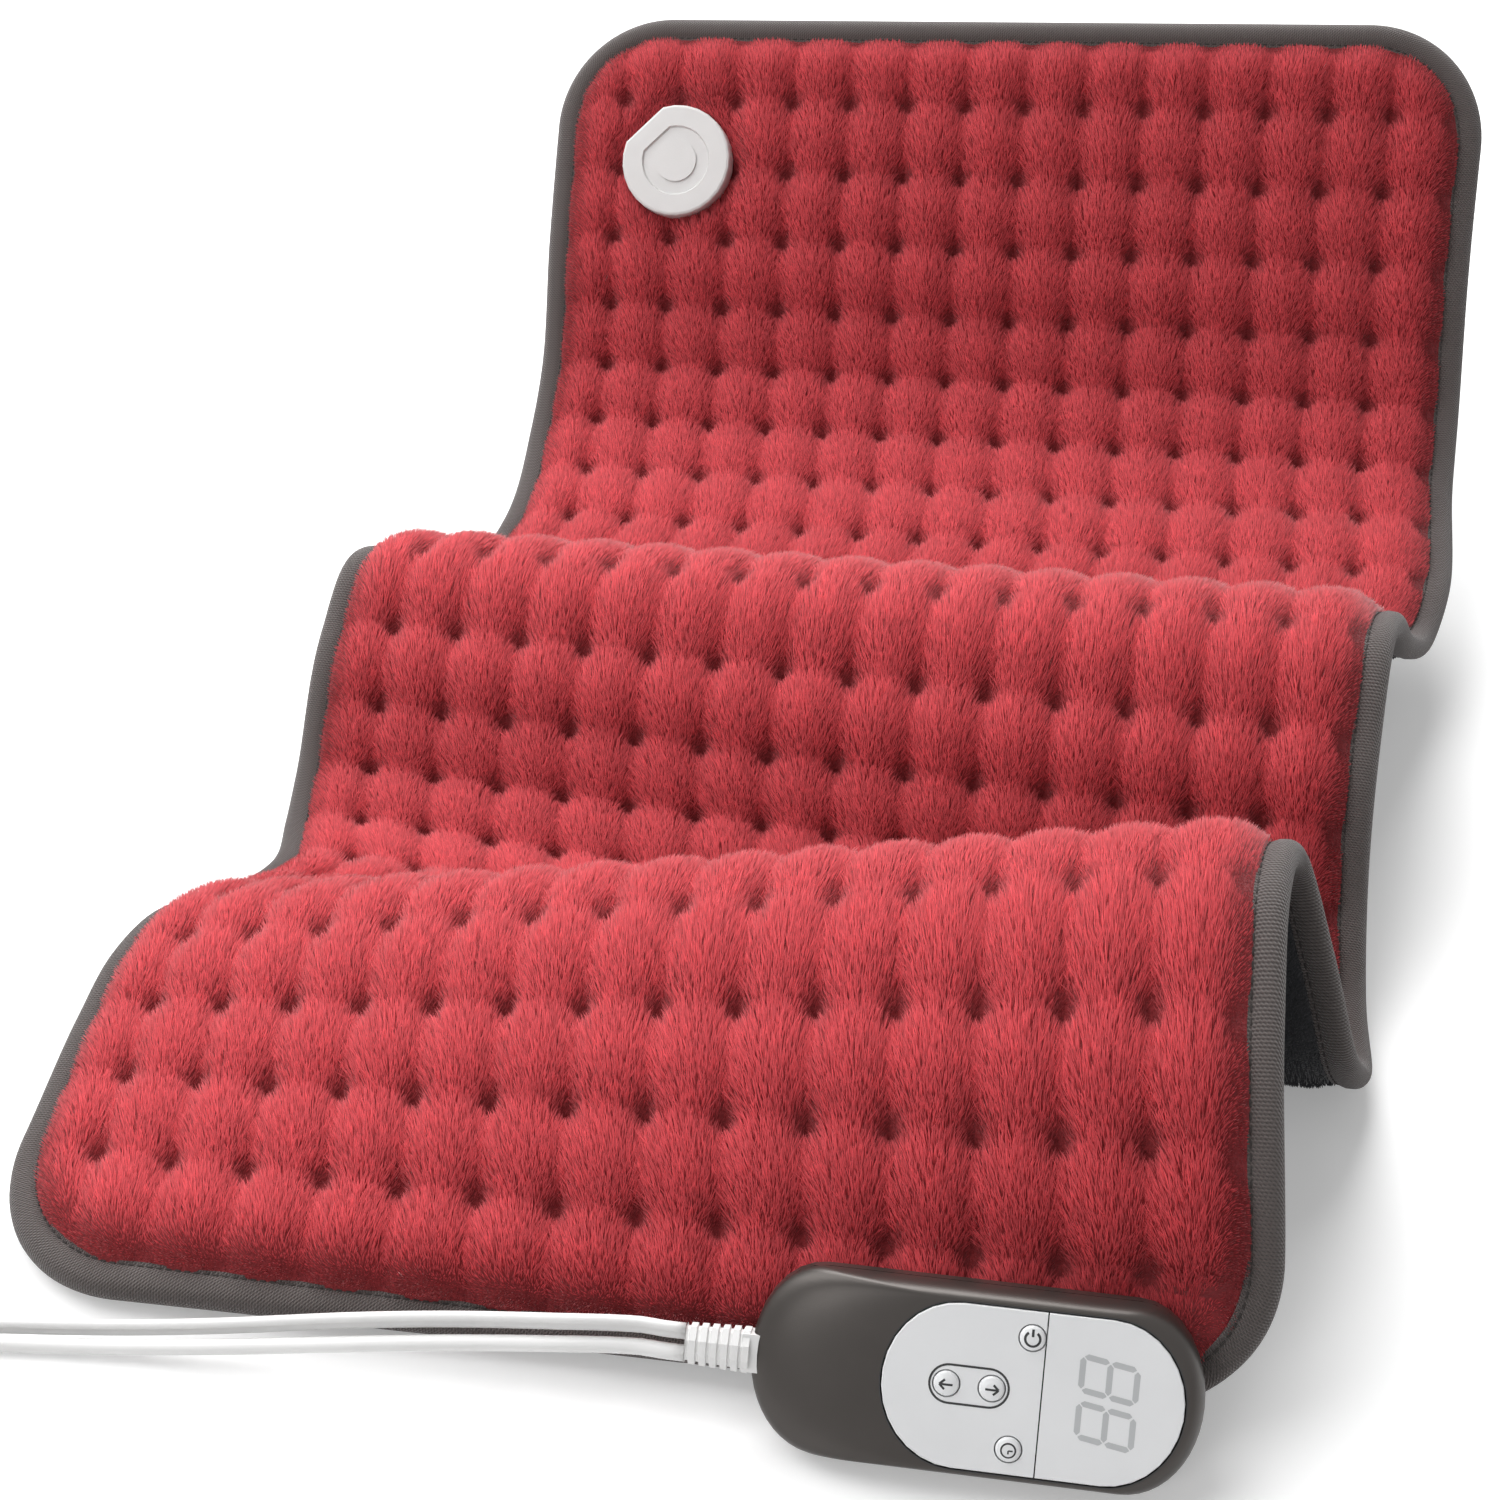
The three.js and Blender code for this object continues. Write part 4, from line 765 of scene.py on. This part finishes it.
def clear_of_handset(points, room):
    """Points that would reach into the hand control, moved back behind it."""
    local = to_handset(points)
    x = np.abs(local[:, 0]) - HANDSET_HALF[0]
    y = np.abs(local[:, 1]) - HANDSET_HALF[1]
    near = 1 - smoothstep(np.maximum(x, y), *HANDSET_MARGIN)
    behind = np.minimum(local[:, 2], -room)
    local[:, 2] += (behind - local[:, 2]) * near
    return from_handset(local)


def layer_grid(inset, step):
    """Places of a grid inside the pad's outline at that inset: across and along, row by row."""
    turns = np.linspace(0, math.pi / 2, CORNER_STEPS)[:-1]
    ends = inset + (CORNER_RADIUS - inset) * (1 - np.cos(turns))
    count = round((PAD_LENGTH - 2 * CORNER_RADIUS) / step)
    middle = np.linspace(CORNER_RADIUS, PAD_LENGTH - CORNER_RADIUS, count + 1)
    along = np.concatenate([ends, middle, PAD_LENGTH - ends[::-1]])
    columns = round((PAD_WIDTH - 2 * inset) / step) + 1
    edge = side_inset(inset, along)[:, None]
    across = edge + (PAD_WIDTH - 2 * edge) * np.linspace(0, 1, columns)[None, :]
    return across, np.repeat(along[:, None], columns, 1)


def closed_layer(name, grid, top, bottom, slot, room):
    """A closed layer of the pad between two heights given at each place of a grid."""
    across, along = grid
    rows, columns = across.shape
    sides = [draped(np.stack([across, along, height], -1).reshape(-1, 3)) for height in (top, bottom)]
    points = to_frame(clear_of_handset(np.vstack(sides), room))
    points[:, 2] = np.maximum(points[:, 2], LAYER_LIFT * MM)
    count = rows * columns
    rim = np.concatenate([
        np.arange(columns),
        np.arange(1, rows - 1) * columns + columns - 1,
        np.arange(rows * columns - 1, (rows - 1) * columns - 1, -1),
        np.arange(rows - 2, 0, -1) * columns,
    ])
    after = np.roll(rim, -1)
    wall = np.stack([rim, rim + count, after + count, after], 1)
    faces = [*grid_faces(rows, columns), *grid_faces(rows, columns, count, flip=True), *wall]
    return mesh_piece(name, points, faces, slot)


def scattered_roots(density, connector_radius):
    """Root places spread evenly but not in rows, inside the binding and round the connector."""
    inset = BINDING_WIDTH - ROOT_OVERLAP
    pitch = 1 / math.sqrt(density)
    rows = [np.arange(inset, size - inset, pitch) for size in (PAD_WIDTH, PAD_LENGTH)]
    roots = np.stack(np.meshgrid(*rows), -1).reshape(-1, 2)
    roots += rng.uniform(-ROOT_SCATTER, ROOT_SCATTER, roots.shape) * pitch
    roots = roots[edge_distance(*roots.T) > inset]
    return roots[from_connector(*roots.T) > connector_radius]


def fibre_meshes(name, fibres, root, tip, facing, shade, slot, material):
    """Fibres as thin blades from root to tip, in several pieces. They take the light as the cloth
    under them does, so that the tufts' relief shows. Each piece's own map has the way along a fibre
    on one axis and the fibre's shade on the other."""
    direction = unit(tip - root)
    across = unit(np.cross(direction, facing))
    roll = rng.normal(0, BLADE_ROLL, (len(root), 1))
    side = fibres["radius"] * (np.cos(roll) * across + np.sin(roll) * np.cross(across, direction))
    widest = root + BLADE_WIDEST * (tip - root)
    points = to_frame(np.stack([root, widest + side, tip, widest - side], 1))
    tips = np.array([0, BLADE_WIDEST, 1, BLADE_WIDEST])
    spread = np.array([0.5, 1, 0.5, 0])
    for part, chosen in enumerate(np.array_split(np.arange(len(root)), fibres["pieces"]), 1):
        mesh = bpy.data.meshes.new(f"{name}_{part}")
        total = len(chosen)
        mesh.vertices.add(total * 4)
        mesh.vertices.foreach_set("co", points[chosen].astype(np.float32).ravel())
        mesh.loops.add(total * 4)
        mesh.loops.foreach_set("vertex_index", np.arange(total * 4, dtype=np.int32))
        mesh.polygons.add(total)
        mesh.polygons.foreach_set("loop_start", np.arange(0, total * 4, 4, dtype=np.int32))
        mesh.update(calc_edges=True)
        mesh.polygons.foreach_set("use_smooth", [True] * total)
        mesh.normals_split_custom_set_from_vertices(np.repeat(facing[chosen], 4, axis=0))
        values = {"tip": np.tile(tips, total), "shade": np.repeat(shade[chosen], 4)}
        for attribute, each in values.items():
            made = mesh.attributes.new(attribute, "FLOAT", "POINT")
            made.data.foreach_set("value", each.astype(np.float32))
        place = (shade[chosen] - shade.min()) / (shade.max() - shade.min())
        map_u = np.tile(MAP_MARGIN + (1 - 2 * MAP_MARGIN) * tips, (total, 1))
        map_v = MAP_MARGIN * (1 + spread[None, :]) + (1 - 3 * MAP_MARGIN) * place[:, None]
        texture_map = mesh.uv_layers.new(name="OFBake")
        texture_map.uv.foreach_set("vector", np.stack([map_u, map_v], -1).astype(np.float32).ravel())
        add_piece(mesh.name, mesh, slot, material)


def clump_values(roots, low, high):
    """One random value for each clump of fibres, given to every fibre in it, and the clump's place."""
    cells = np.floor(roots / CLUMP_PITCH).astype(int)
    table = rng.uniform(low, high, cells.max(0) + 1)
    return table[cells[:, 0], cells[:, 1]], (cells + 0.5) * CLUMP_PITCH


def pile_paths(roots, skin, length, lean, side):
    """Root and tip of each fibre, flat: it leans towards the pad's back, in loose clumps."""
    across, along = roots.T
    height = skin(across, along)
    step = PILE_SLOPE_STEP
    slope_x = (skin(across + step, along) - skin(across - step, along)) / (2 * step)
    slope_y = (skin(across, along + step) - skin(across, along - step)) / (2 * step)
    out = unit(np.stack([-slope_x, -slope_y, np.ones(len(roots))], 1) * side)
    swing = PILE_WAVE_TURN * wrinkles(across, along, **PILE_WAVES) + rng.normal(0, FIBRE_SWING, len(roots))
    clump_swing, clump_place = clump_values(roots, -CLUMP_SWING, CLUMP_SWING)
    turn = swing + clump_swing
    way = np.stack([np.sin(turn), np.cos(turn), 0 * turn], 1)
    freed = smoothstep(edge_distance(across, along) - BINDING_WIDTH, 0, PILE_EDGE)
    lean = (lean * (EDGE_LEAN + (1 - EDGE_LEAN) * freed))[:, None]
    length = length * (EDGE_LENGTH + (1 - EDGE_LENGTH) * freed)
    length = (length * rng.uniform(*FIBRE_SPREAD, len(roots)))[:, None]
    root = np.stack([across, along, height], 1) - ROOT_DEPTH * out
    tip = root + length * (np.cos(lean) * out + np.sin(lean) * way)
    tip[:, :2] += CLUMPING * (clump_place - roots)
    return root, tip


def skin_facing(roots, skin, side):
    """The way that the draped skin faces at each root."""
    ends = []
    for x, y in ((SLOPE_STEP, 0), (-SLOPE_STEP, 0), (0, SLOPE_STEP), (0, -SLOPE_STEP)):
        across, along = roots[:, 0] + x, roots[:, 1] + y
        ends.append(draped(np.stack([across, along, skin(across, along)], 1)))
    return side * unit(np.cross(ends[0] - ends[1], ends[2] - ends[3]))


def grow_pile(name, roots, skin, fibres, side, slot, material, freedom=1.0):
    """Pile on one side of the pad, shorter where a tuft leaves it little freedom, and darker there as
    painted shade in the tuft's pit.
    """
    length = fibres["length"] * (TUFT_LENGTH + (1 - TUFT_LENGTH) * freedom)
    root, tip = (draped(flat) for flat in pile_paths(roots, skin, length, fibres["lean"], side))
    root = clear_of_handset(root, ROOT_ROOM)
    tip = clear_of_handset(tip, TIP_ROOM)
    for ends in (root, tip):
        ends[:, 2] = np.maximum(ends[:, 2], FLOOR + PILE_LIFT)
    # Painted shade: fibres close to a tuft are darkened as if in the shadow of its pit.
    light = TUFT_PAINTED_SHADE + (1 - TUFT_PAINTED_SHADE) * freedom
    shade = light * clump_values(roots, *CLUMP_SHADE)[0] * rng.uniform(*FIBRE_SPREAD, len(roots))
    facing = skin_facing(roots, skin, side)
    fibre_meshes(name, fibres, root, tip, facing, shade, slot, material)


plush_grid = layer_grid(BINDING_WIDTH - TUCK, SKIN_STEP)
plush_top = plush_skin(*plush_grid)
plush_low = np.full(plush_top.shape, PLUSH_BOTTOM)
plush = closed_layer("plush", plush_grid, plush_top, plush_low, "plush", PLUSH_ROOM)
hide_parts("plush_cover")
plush_roots = scattered_roots(PLUSH_FIBRES["density"], CONNECTOR_RADIUS - ROOT_OVERLAP)
freedom = clear_of_tufts(*plush_roots.T)
grow_pile("plush_pile", plush_roots, plush_skin, PLUSH_FIBRES, 1, "plush", plush_pile, freedom)

back_grid = layer_grid(BINDING_WIDTH - TUCK, 2 * SKIN_STEP)
back_low = back_skin(*back_grid)
back_top = np.full(back_low.shape, BACK_TOP)
back = closed_layer("back", back_grid, back_top, back_low, "back_fabric", BACK_ROOM)
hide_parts("back_cover")
back_roots = scattered_roots(BACK_FIBRES["density"], CONNECTOR_BASE_RADIUS)
grow_pile("back_pile", back_roots, back_skin, BACK_FIBRES, -1, "back_fabric", back_pile)


# Binding and its stitches.
def outline_places(step):
    """Places round the pad's edge: each one's foot, a corner radius inside the edge, and the way out."""
    half = np.array([PAD_WIDTH / 2, PAD_LENGTH / 2]) - CORNER_RADIUS
    arc_steps = round(CORNER_RADIUS * math.pi / 2 / step) + 1
    feet, ways = [], []
    for quarter in (3, 0, 1, 2):
        corner_x = half[0] if quarter in (0, 3) else -half[0]
        corner_y = half[1] if quarter in (0, 1) else -half[1]
        arc = np.linspace(quarter * math.pi / 2, (quarter + 1) * math.pi / 2, arc_steps)
        feet.append(np.repeat([[corner_x, corner_y]], len(arc), 0))
        ways.append(on_circle(arc))
        run = 2 * half[quarter % 2]
        share = np.linspace(0, 1, round(run / step) + 1)[1:-1, None]
        ahead = np.array([-math.sin(arc[-1]), math.cos(arc[-1])])
        feet.append(np.array([corner_x, corner_y]) + ahead * run * share)
        ways.append(np.repeat(ways[-1][-1:], len(share), 0))
    feet = np.vstack([*feet, feet[0][:1]]) + [PAD_WIDTH / 2, PAD_LENGTH / 2]
    return feet, np.vstack([*ways, ways[0][:1]])


def outline_flat(feet, ways, inset, height):
    """Flat points at an inset from the pad's edge."""
    place = feet + ways * (CORNER_RADIUS - inset)
    return np.column_stack([place, np.full(len(place), height)])


def binding_section():
    """The tape's outside from its upper hem, over the pad's edge, to its lower hem, and back inside."""
    middle = (BINDING_TOP + BINDING_BOTTOM) / 2
    rise = (BINDING_TOP - BINDING_BOTTOM) / 2
    groove = BINDING_WIDTH - BINDING_GROOVE
    upper = [(groove + inset, BINDING_TOP + lift) for inset, lift in HEM_PROFILE]
    turns = np.radians(np.linspace(90, 270, BINDING_TURNS))
    edge = on_circle(turns) * [BINDING_ROUND, rise] + [BINDING_ROUND, middle]
    lower = [(inset, 2 * middle - height) for inset, height in reversed(upper)]
    top = BINDING_TOP - BINDING_CLOTH
    bottom = BINDING_BOTTOM + BINDING_CLOTH
    inside = [
        (BINDING_WIDTH, bottom + HEM_PINCH), (BINDING_INSIDE, bottom),
        (BINDING_INSIDE, top), (BINDING_WIDTH, top - HEM_PINCH),
    ]
    return [*upper, *edge, *lower, *inside]


def edge_binding():
    feet, ways = outline_places(BINDING_STEP)
    section = binding_section()
    rings = [to_frame(draped(outline_flat(feet, ways, inset, height))) for inset, height in section]
    points = np.stack(rings, 1).reshape(-1, 3)
    points[:, 2] = np.maximum(points[:, 2], BINDING_LIFT * MM)
    piece = mesh_piece("binding", points, tube_faces(len(feet), len(section)), "binding")
    tape = np.zeros((len(feet), len(section), 3), np.float32)
    tape[:, :, 0] = travelled(feet + ways * CORNER_RADIUS)[:, None]
    tape[:, :, 1] = travelled(np.array(section))[None, :]
    piece.data.attributes.new("tape", "FLOAT_VECTOR", "POINT").data.foreach_set("vector", tape.ravel())
    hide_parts("edge_binding")


def stitches(name, height):
    """A row of short raised stitches round the binding's inner edge."""
    feet, ways = outline_places(STITCH_STEP)
    line = outline_flat(feet, ways, BINDING_WIDTH - BINDING_GROOVE, height)
    travel = travelled(line)
    count = int(travel[-1] / STITCH_PITCH)
    shares, widths = np.array(STITCH_PROFILE).T
    places = (np.arange(count)[:, None] * travel[-1] / count + shares * STITCH_LENGTH).ravel()
    flat = points_at(line, travel, places % travel[-1])
    centre = draped(flat)
    up = unit(draped(flat + [0, 0, 1]) - centre)
    centre = centre.reshape(count, len(shares), 3)
    up = up.reshape(centre.shape)
    side = np.cross(up, unit(centre[:, -1] - centre[:, 0])[:, None])
    angles = 2 * math.pi * np.arange(STITCH_SIDES)[:, None] / STITCH_SIDES
    ring = np.cos(angles) * side[:, :, None] + np.sin(angles) * up[:, :, None]
    points = centre[:, :, None] + STITCH_RADIUS * widths[:, None, None] * ring
    one = tube_faces(len(shares), STITCH_SIDES)
    each = len(shares) * STITCH_SIDES
    faces = [tuple(i * each + corner for corner in face) for i in range(count) for face in one]
    mesh_piece(name, to_frame(points.reshape(-1, 3)), faces, "binding", stitch_thread)


edge_binding()
stitches("stitches_front", BINDING_TOP - STITCH_SINK)
stitches("stitches_back", BINDING_BOTTOM + STITCH_SINK)


# Hand control's front, the prints on it, and a painted shadow line round its plate.
def print_piece(name, outlines, height, slot="black_plastic", material=dark_print_and_shadow, body=ROOT):
    """Flat inked shapes, or a painted shadow line, each a strip between an outer and an inner line of equal
    counts.
    """
    points, faces = [], []
    for outer, inner, closed in outlines:
        start = len(points)
        count = len(outer)
        points += [(x, y, height(x, y) + PRINT_THICKNESS) for x, y in [*outer, *inner]]
        for i in range(count if closed else count - 1):
            after = (i + 1) % count
            faces.append((start + i, start + after, start + count + after, start + count + i))
    mesh_piece(name, to_frame(from_handset(points)), faces, slot, material, body)


def arc_band(centre, radius, width, start, end, steps=36):
    ring = on_circle(np.radians(np.linspace(start, end, steps)))
    centre = np.asarray(centre, float)
    return centre + ring * (radius + width / 2), centre + ring * (radius - width / 2), False


def bar(start, end, width, point=0.0):
    """A straight stroke, whose ends may narrow to a tip over the length of a point."""
    start, end = np.asarray(start, float), np.asarray(end, float)
    length = np.linalg.norm(end - start)
    along = (end - start) / length
    steps = np.linspace(0, length, BAR_POINTS)
    half = np.full(BAR_POINTS, width / 2)
    if point:
        steps[1:-1] = np.linspace(point, length - point, BAR_POINTS - 2)
        half[[0, -1]] *= BAR_TIP
    line = start + along * steps[:, None]
    out = np.array([-along[1], along[0]]) * half[:, None]
    return line - out, line + out, False


def on_dome(centre):
    """The height of a dome's surface at a place near its middle."""
    shares, levels = zip(*DOME_PROFILE)

    def height(x, y):
        share = min(math.hypot(x - centre[0], y - centre[1]) / DOME_RADIUS, 1)
        return FACE_HEIGHT + DOME_RISE * np.interp(share, shares, levels)

    return height


def on_face(x, y):
    return FACE_HEIGHT


def on_body(x, y):
    return BODY_HEIGHT


def arrow(centre, way):
    """An arrow along the hand control: a stem and two strokes to its point."""
    x, y = centre
    strokes = [bar((x - way * ARROW_TAIL, y), (x + way * ARROW_STEM, y), ARROW_STROKE)]
    for side in (1, -1):
        barb = (x + way * ARROW_BARB[0], y + side * ARROW_BARB[1])
        strokes.append(bar((x + way * ARROW_POINT, y), barb, ARROW_STROKE))
    return strokes


def clock(centre):
    x, y = centre
    return [
        arc_band(centre, CLOCK_RADIUS, CLOCK_RIM, 0, 360),
        bar((x, y), (x + CLOCK_HANDS[0], y), CLOCK_STROKE),
        bar((x, y), (x, y - CLOCK_HANDS[1]), CLOCK_STROKE),
    ]


def power_mark(centre):
    x, y = centre
    stem = bar((x, y + POWER_BAR[0]), (x, y + POWER_BAR[1]), POWER_STROKE)
    return [arc_band(centre, POWER_RADIUS, POWER_STROKE, *POWER_ARC), stem]


def oblong(left, right, half_width, end, out, counts):
    """An outline with round ends and straight sides, widened by a distance, with a count of points each."""
    end_count, side_count = counts
    turns = np.radians(np.linspace(-90, 90, end_count))
    arc = on_circle(turns) * [end + out, half_width + out]
    shares = np.linspace(0, 1, side_count)[1:-1, None]
    right_arc = arc + [right - end, 0]
    left_arc = -arc + [left + end, 0]
    upper = right_arc[-1] + (left_arc[0] - right_arc[-1]) * shares
    lower = left_arc[-1] + (right_arc[0] - left_arc[-1]) * shares
    return np.vstack([right_arc, upper, left_arc, lower])


def plate_outline(out):
    return oblong(PLATE_LEFT, PLATE_RIGHT, PLATE_WIDTH / 2, PLATE_END, out, BODY_POINTS)


def body_outline(out):
    return oblong(-HANDSET_HALF[0], HANDSET_HALF[0], HANDSET_HALF[1], HANDSET_END, out, BODY_POINTS)


def body_front():
    """The upper shell: from the plate's edge it falls in one crowned sweep to the parting line."""
    edge = plate_outline(PLATE_GAP)
    side = body_outline(0)
    rings = []
    for turn in np.linspace(0, math.pi / 2, BODY_RINGS):
        out = math.sin(turn) ** (2 / BODY_CROWN)
        rise = math.cos(turn) ** (2 / BODY_CROWN)
        rings.append((edge + (side - edge) * out, PARTING_HEIGHT + (BODY_HEIGHT - PARTING_HEIGHT) * rise))
    rings.append((body_outline(-BODY_WALL), PARTING_HEIGHT))
    rings.append((edge, BODY_HEIGHT - BODY_WALL))
    points = [np.column_stack([plan, np.full(len(edge), height)]) for plan, height in reversed(rings)]
    points = to_frame(from_handset(np.vstack(points)))
    faces = tube_faces(len(rings), len(edge), closed=True)
    piece = mesh_piece("body_front", points, faces, "body_plastic")
    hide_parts("handset_top_shell")
    keep_edges(piece)


def segments(centre):
    """The seven bars of one unlit digit, whose height runs along the hand control."""
    long, wide = DIGIT_SIZE[0] / 2, DIGIT_SIZE[1] / 2
    inset = SEGMENT_WIDTH / 2

    def segment(start, end):
        ends = [(centre[0] + x, centre[1] + y - SEGMENT_SLANT * x) for x, y in (start, end)]
        return bar(*ends, SEGMENT_WIDTH, SEGMENT_WIDTH / 2)

    bars = []
    reach = wide - inset - SEGMENT_GAP
    for level in (-long + inset, 0, long - inset):
        bars.append(segment((level, -reach), (level, reach)))
    for half in (-1, 1):
        for side in (-1, 1):
            row = side * (wide - inset)
            bars.append(segment((half * SEGMENT_GAP, row), (half * (long - inset - SEGMENT_GAP), row)))
    return bars


marks = {
    "power": power_mark(BUTTONS["power"]),
    "cooler": arrow(BUTTONS["cooler"], -1),
    "warmer": arrow(BUTTONS["warmer"], 1),
    "timer": clock(BUTTONS["timer"]),
}
for name, mark in marks.items():
    print_piece(f"{name}_mark", mark, on_dome(BUTTONS[name]), body=f"{name}_button")

body_front()
# A dark line on the body at the plate's edge: painted shadow of the gap round the plate.
plate_gap_shadow = [(plate_outline(PLATE_GAP + PLATE_SHADOW_WIDTH), plate_outline(PLATE_GAP), True)]
print_piece("plate_gap_shadow", plate_gap_shadow, on_body)

frame_centre = np.add(BUTTONS["cooler"], BUTTONS["warmer"]) / 2
frame_reach, frame_round = np.array(FRAME_SIZE) / 2
frame_lines = []
for out in (0, -FRAME_LINE):
    line = oblong(-frame_reach, frame_reach, frame_round, frame_round, out, FRAME_POINTS)
    frame_lines.append(line + frame_centre)
print_piece("temperature_frame", [(*frame_lines, True)], on_face)

for index, centre in enumerate(DIGIT_CENTRES, 1):
    print_piece(f"digit_{index}", segments(centre), on_face, "face_plastic", segment_print)


# CAD nodes that stay get smooth sides and their own finish.
subpart_slots = {row["node"]: row["material_slot"] for row in frame["record"]["subparts"]}
for name, obj in nodes.items():
    material = white_rubber if name.endswith("_relief") else SLOT_MATERIALS[subpart_slots[name]]
    obj.data.materials.clear()
    obj.data.materials.append(material)
    obj.data.shade_smooth()
    keep_edges(obj)


# Floor, backdrop and light.
def background_rays(tree):
    """1 for rays that show the background: from the camera, off gloss and through clear pieces."""
    path = node(tree, "ShaderNodeLightPath")
    total = path.outputs["Is Camera Ray"]
    for kind in ("Is Glossy Ray", "Is Transmission Ray"):
        total = combined(tree, "MAXIMUM", total, path.outputs[kind])
    return total


def floor_material():
    """A pale floor that shows white to the camera and keeps the object's shadow."""
    material, tree, shader = new_material("floor")
    fill(tree, shader, Base_Color=(FLOOR_GREY, FLOOR_GREY, FLOOR_GREY, 1), Roughness=0.9)
    glow = node(tree, "ShaderNodeEmission", Strength=FLOOR_GLOW)
    both = node(tree, "ShaderNodeAddShader")
    tree.links.new(shader.outputs["BSDF"], both.inputs[0])
    tree.links.new(glow.outputs["Emission"], both.inputs[1])
    place = node(tree, "ShaderNodeTexCoord").outputs["Object"]
    reach = node(tree, "ShaderNodeVectorMath", operation="LENGTH", Vector=place).outputs["Value"]
    away = node(tree, "ShaderNodeMapRange", Value=reach, From_Min=FLOOR_NEAR, From_Max=FLOOR_FAR)
    white = node(tree, "ShaderNodeEmission", Strength=1.0)
    shown = mixed(tree, away.outputs["Result"], both.outputs["Shader"], white.outputs["Emission"])
    out = mixed(tree, background_rays(tree), shader.outputs["BSDF"], shown)
    fill(tree, tree.nodes["Material Output"], Surface=out)
    return material


floor_mesh = bpy.data.meshes.new("floor")
floor_corners = [(x * FLOOR_HALF, y * FLOOR_HALF, 0) for x, y in ((-1, -1), (1, -1), (1, 1), (-1, 1))]
floor_mesh.from_pydata(floor_corners, [], [(0, 1, 2, 3)])
floor_mesh.materials.append(floor_material())
floor = placed("floor", floor_mesh)

world = bpy.data.worlds.new("studio")
bpy.context.scene.world = world
world.use_nodes = True
world_tree = world.node_tree
ambient = world_tree.nodes["Background"]
fill(world_tree, ambient, Color=WHITE, Strength=AMBIENT)
white = node(world_tree, "ShaderNodeBackground", Color=WHITE, Strength=1.0)
sky = mixed(
    world_tree, background_rays(world_tree), ambient.outputs["Background"], white.outputs["Background"]
)
fill(world_tree, world_tree.nodes["World Output"], Surface=sky)

for name, (place, target, size, power) in LIGHTS.items():
    light_data = bpy.data.lights.new(name, "AREA")
    light_data.shape = "DISK"
    light_data.size = size
    light_data.energy = power
    light = placed(name, light_data)
    light.location = place
    light.visible_camera = False
    light.rotation_euler = (Vector(target) - Vector(place)).to_track_quat("-Z", "Y").to_euler()

bpy.context.scene.view_settings.view_transform = "Standard"
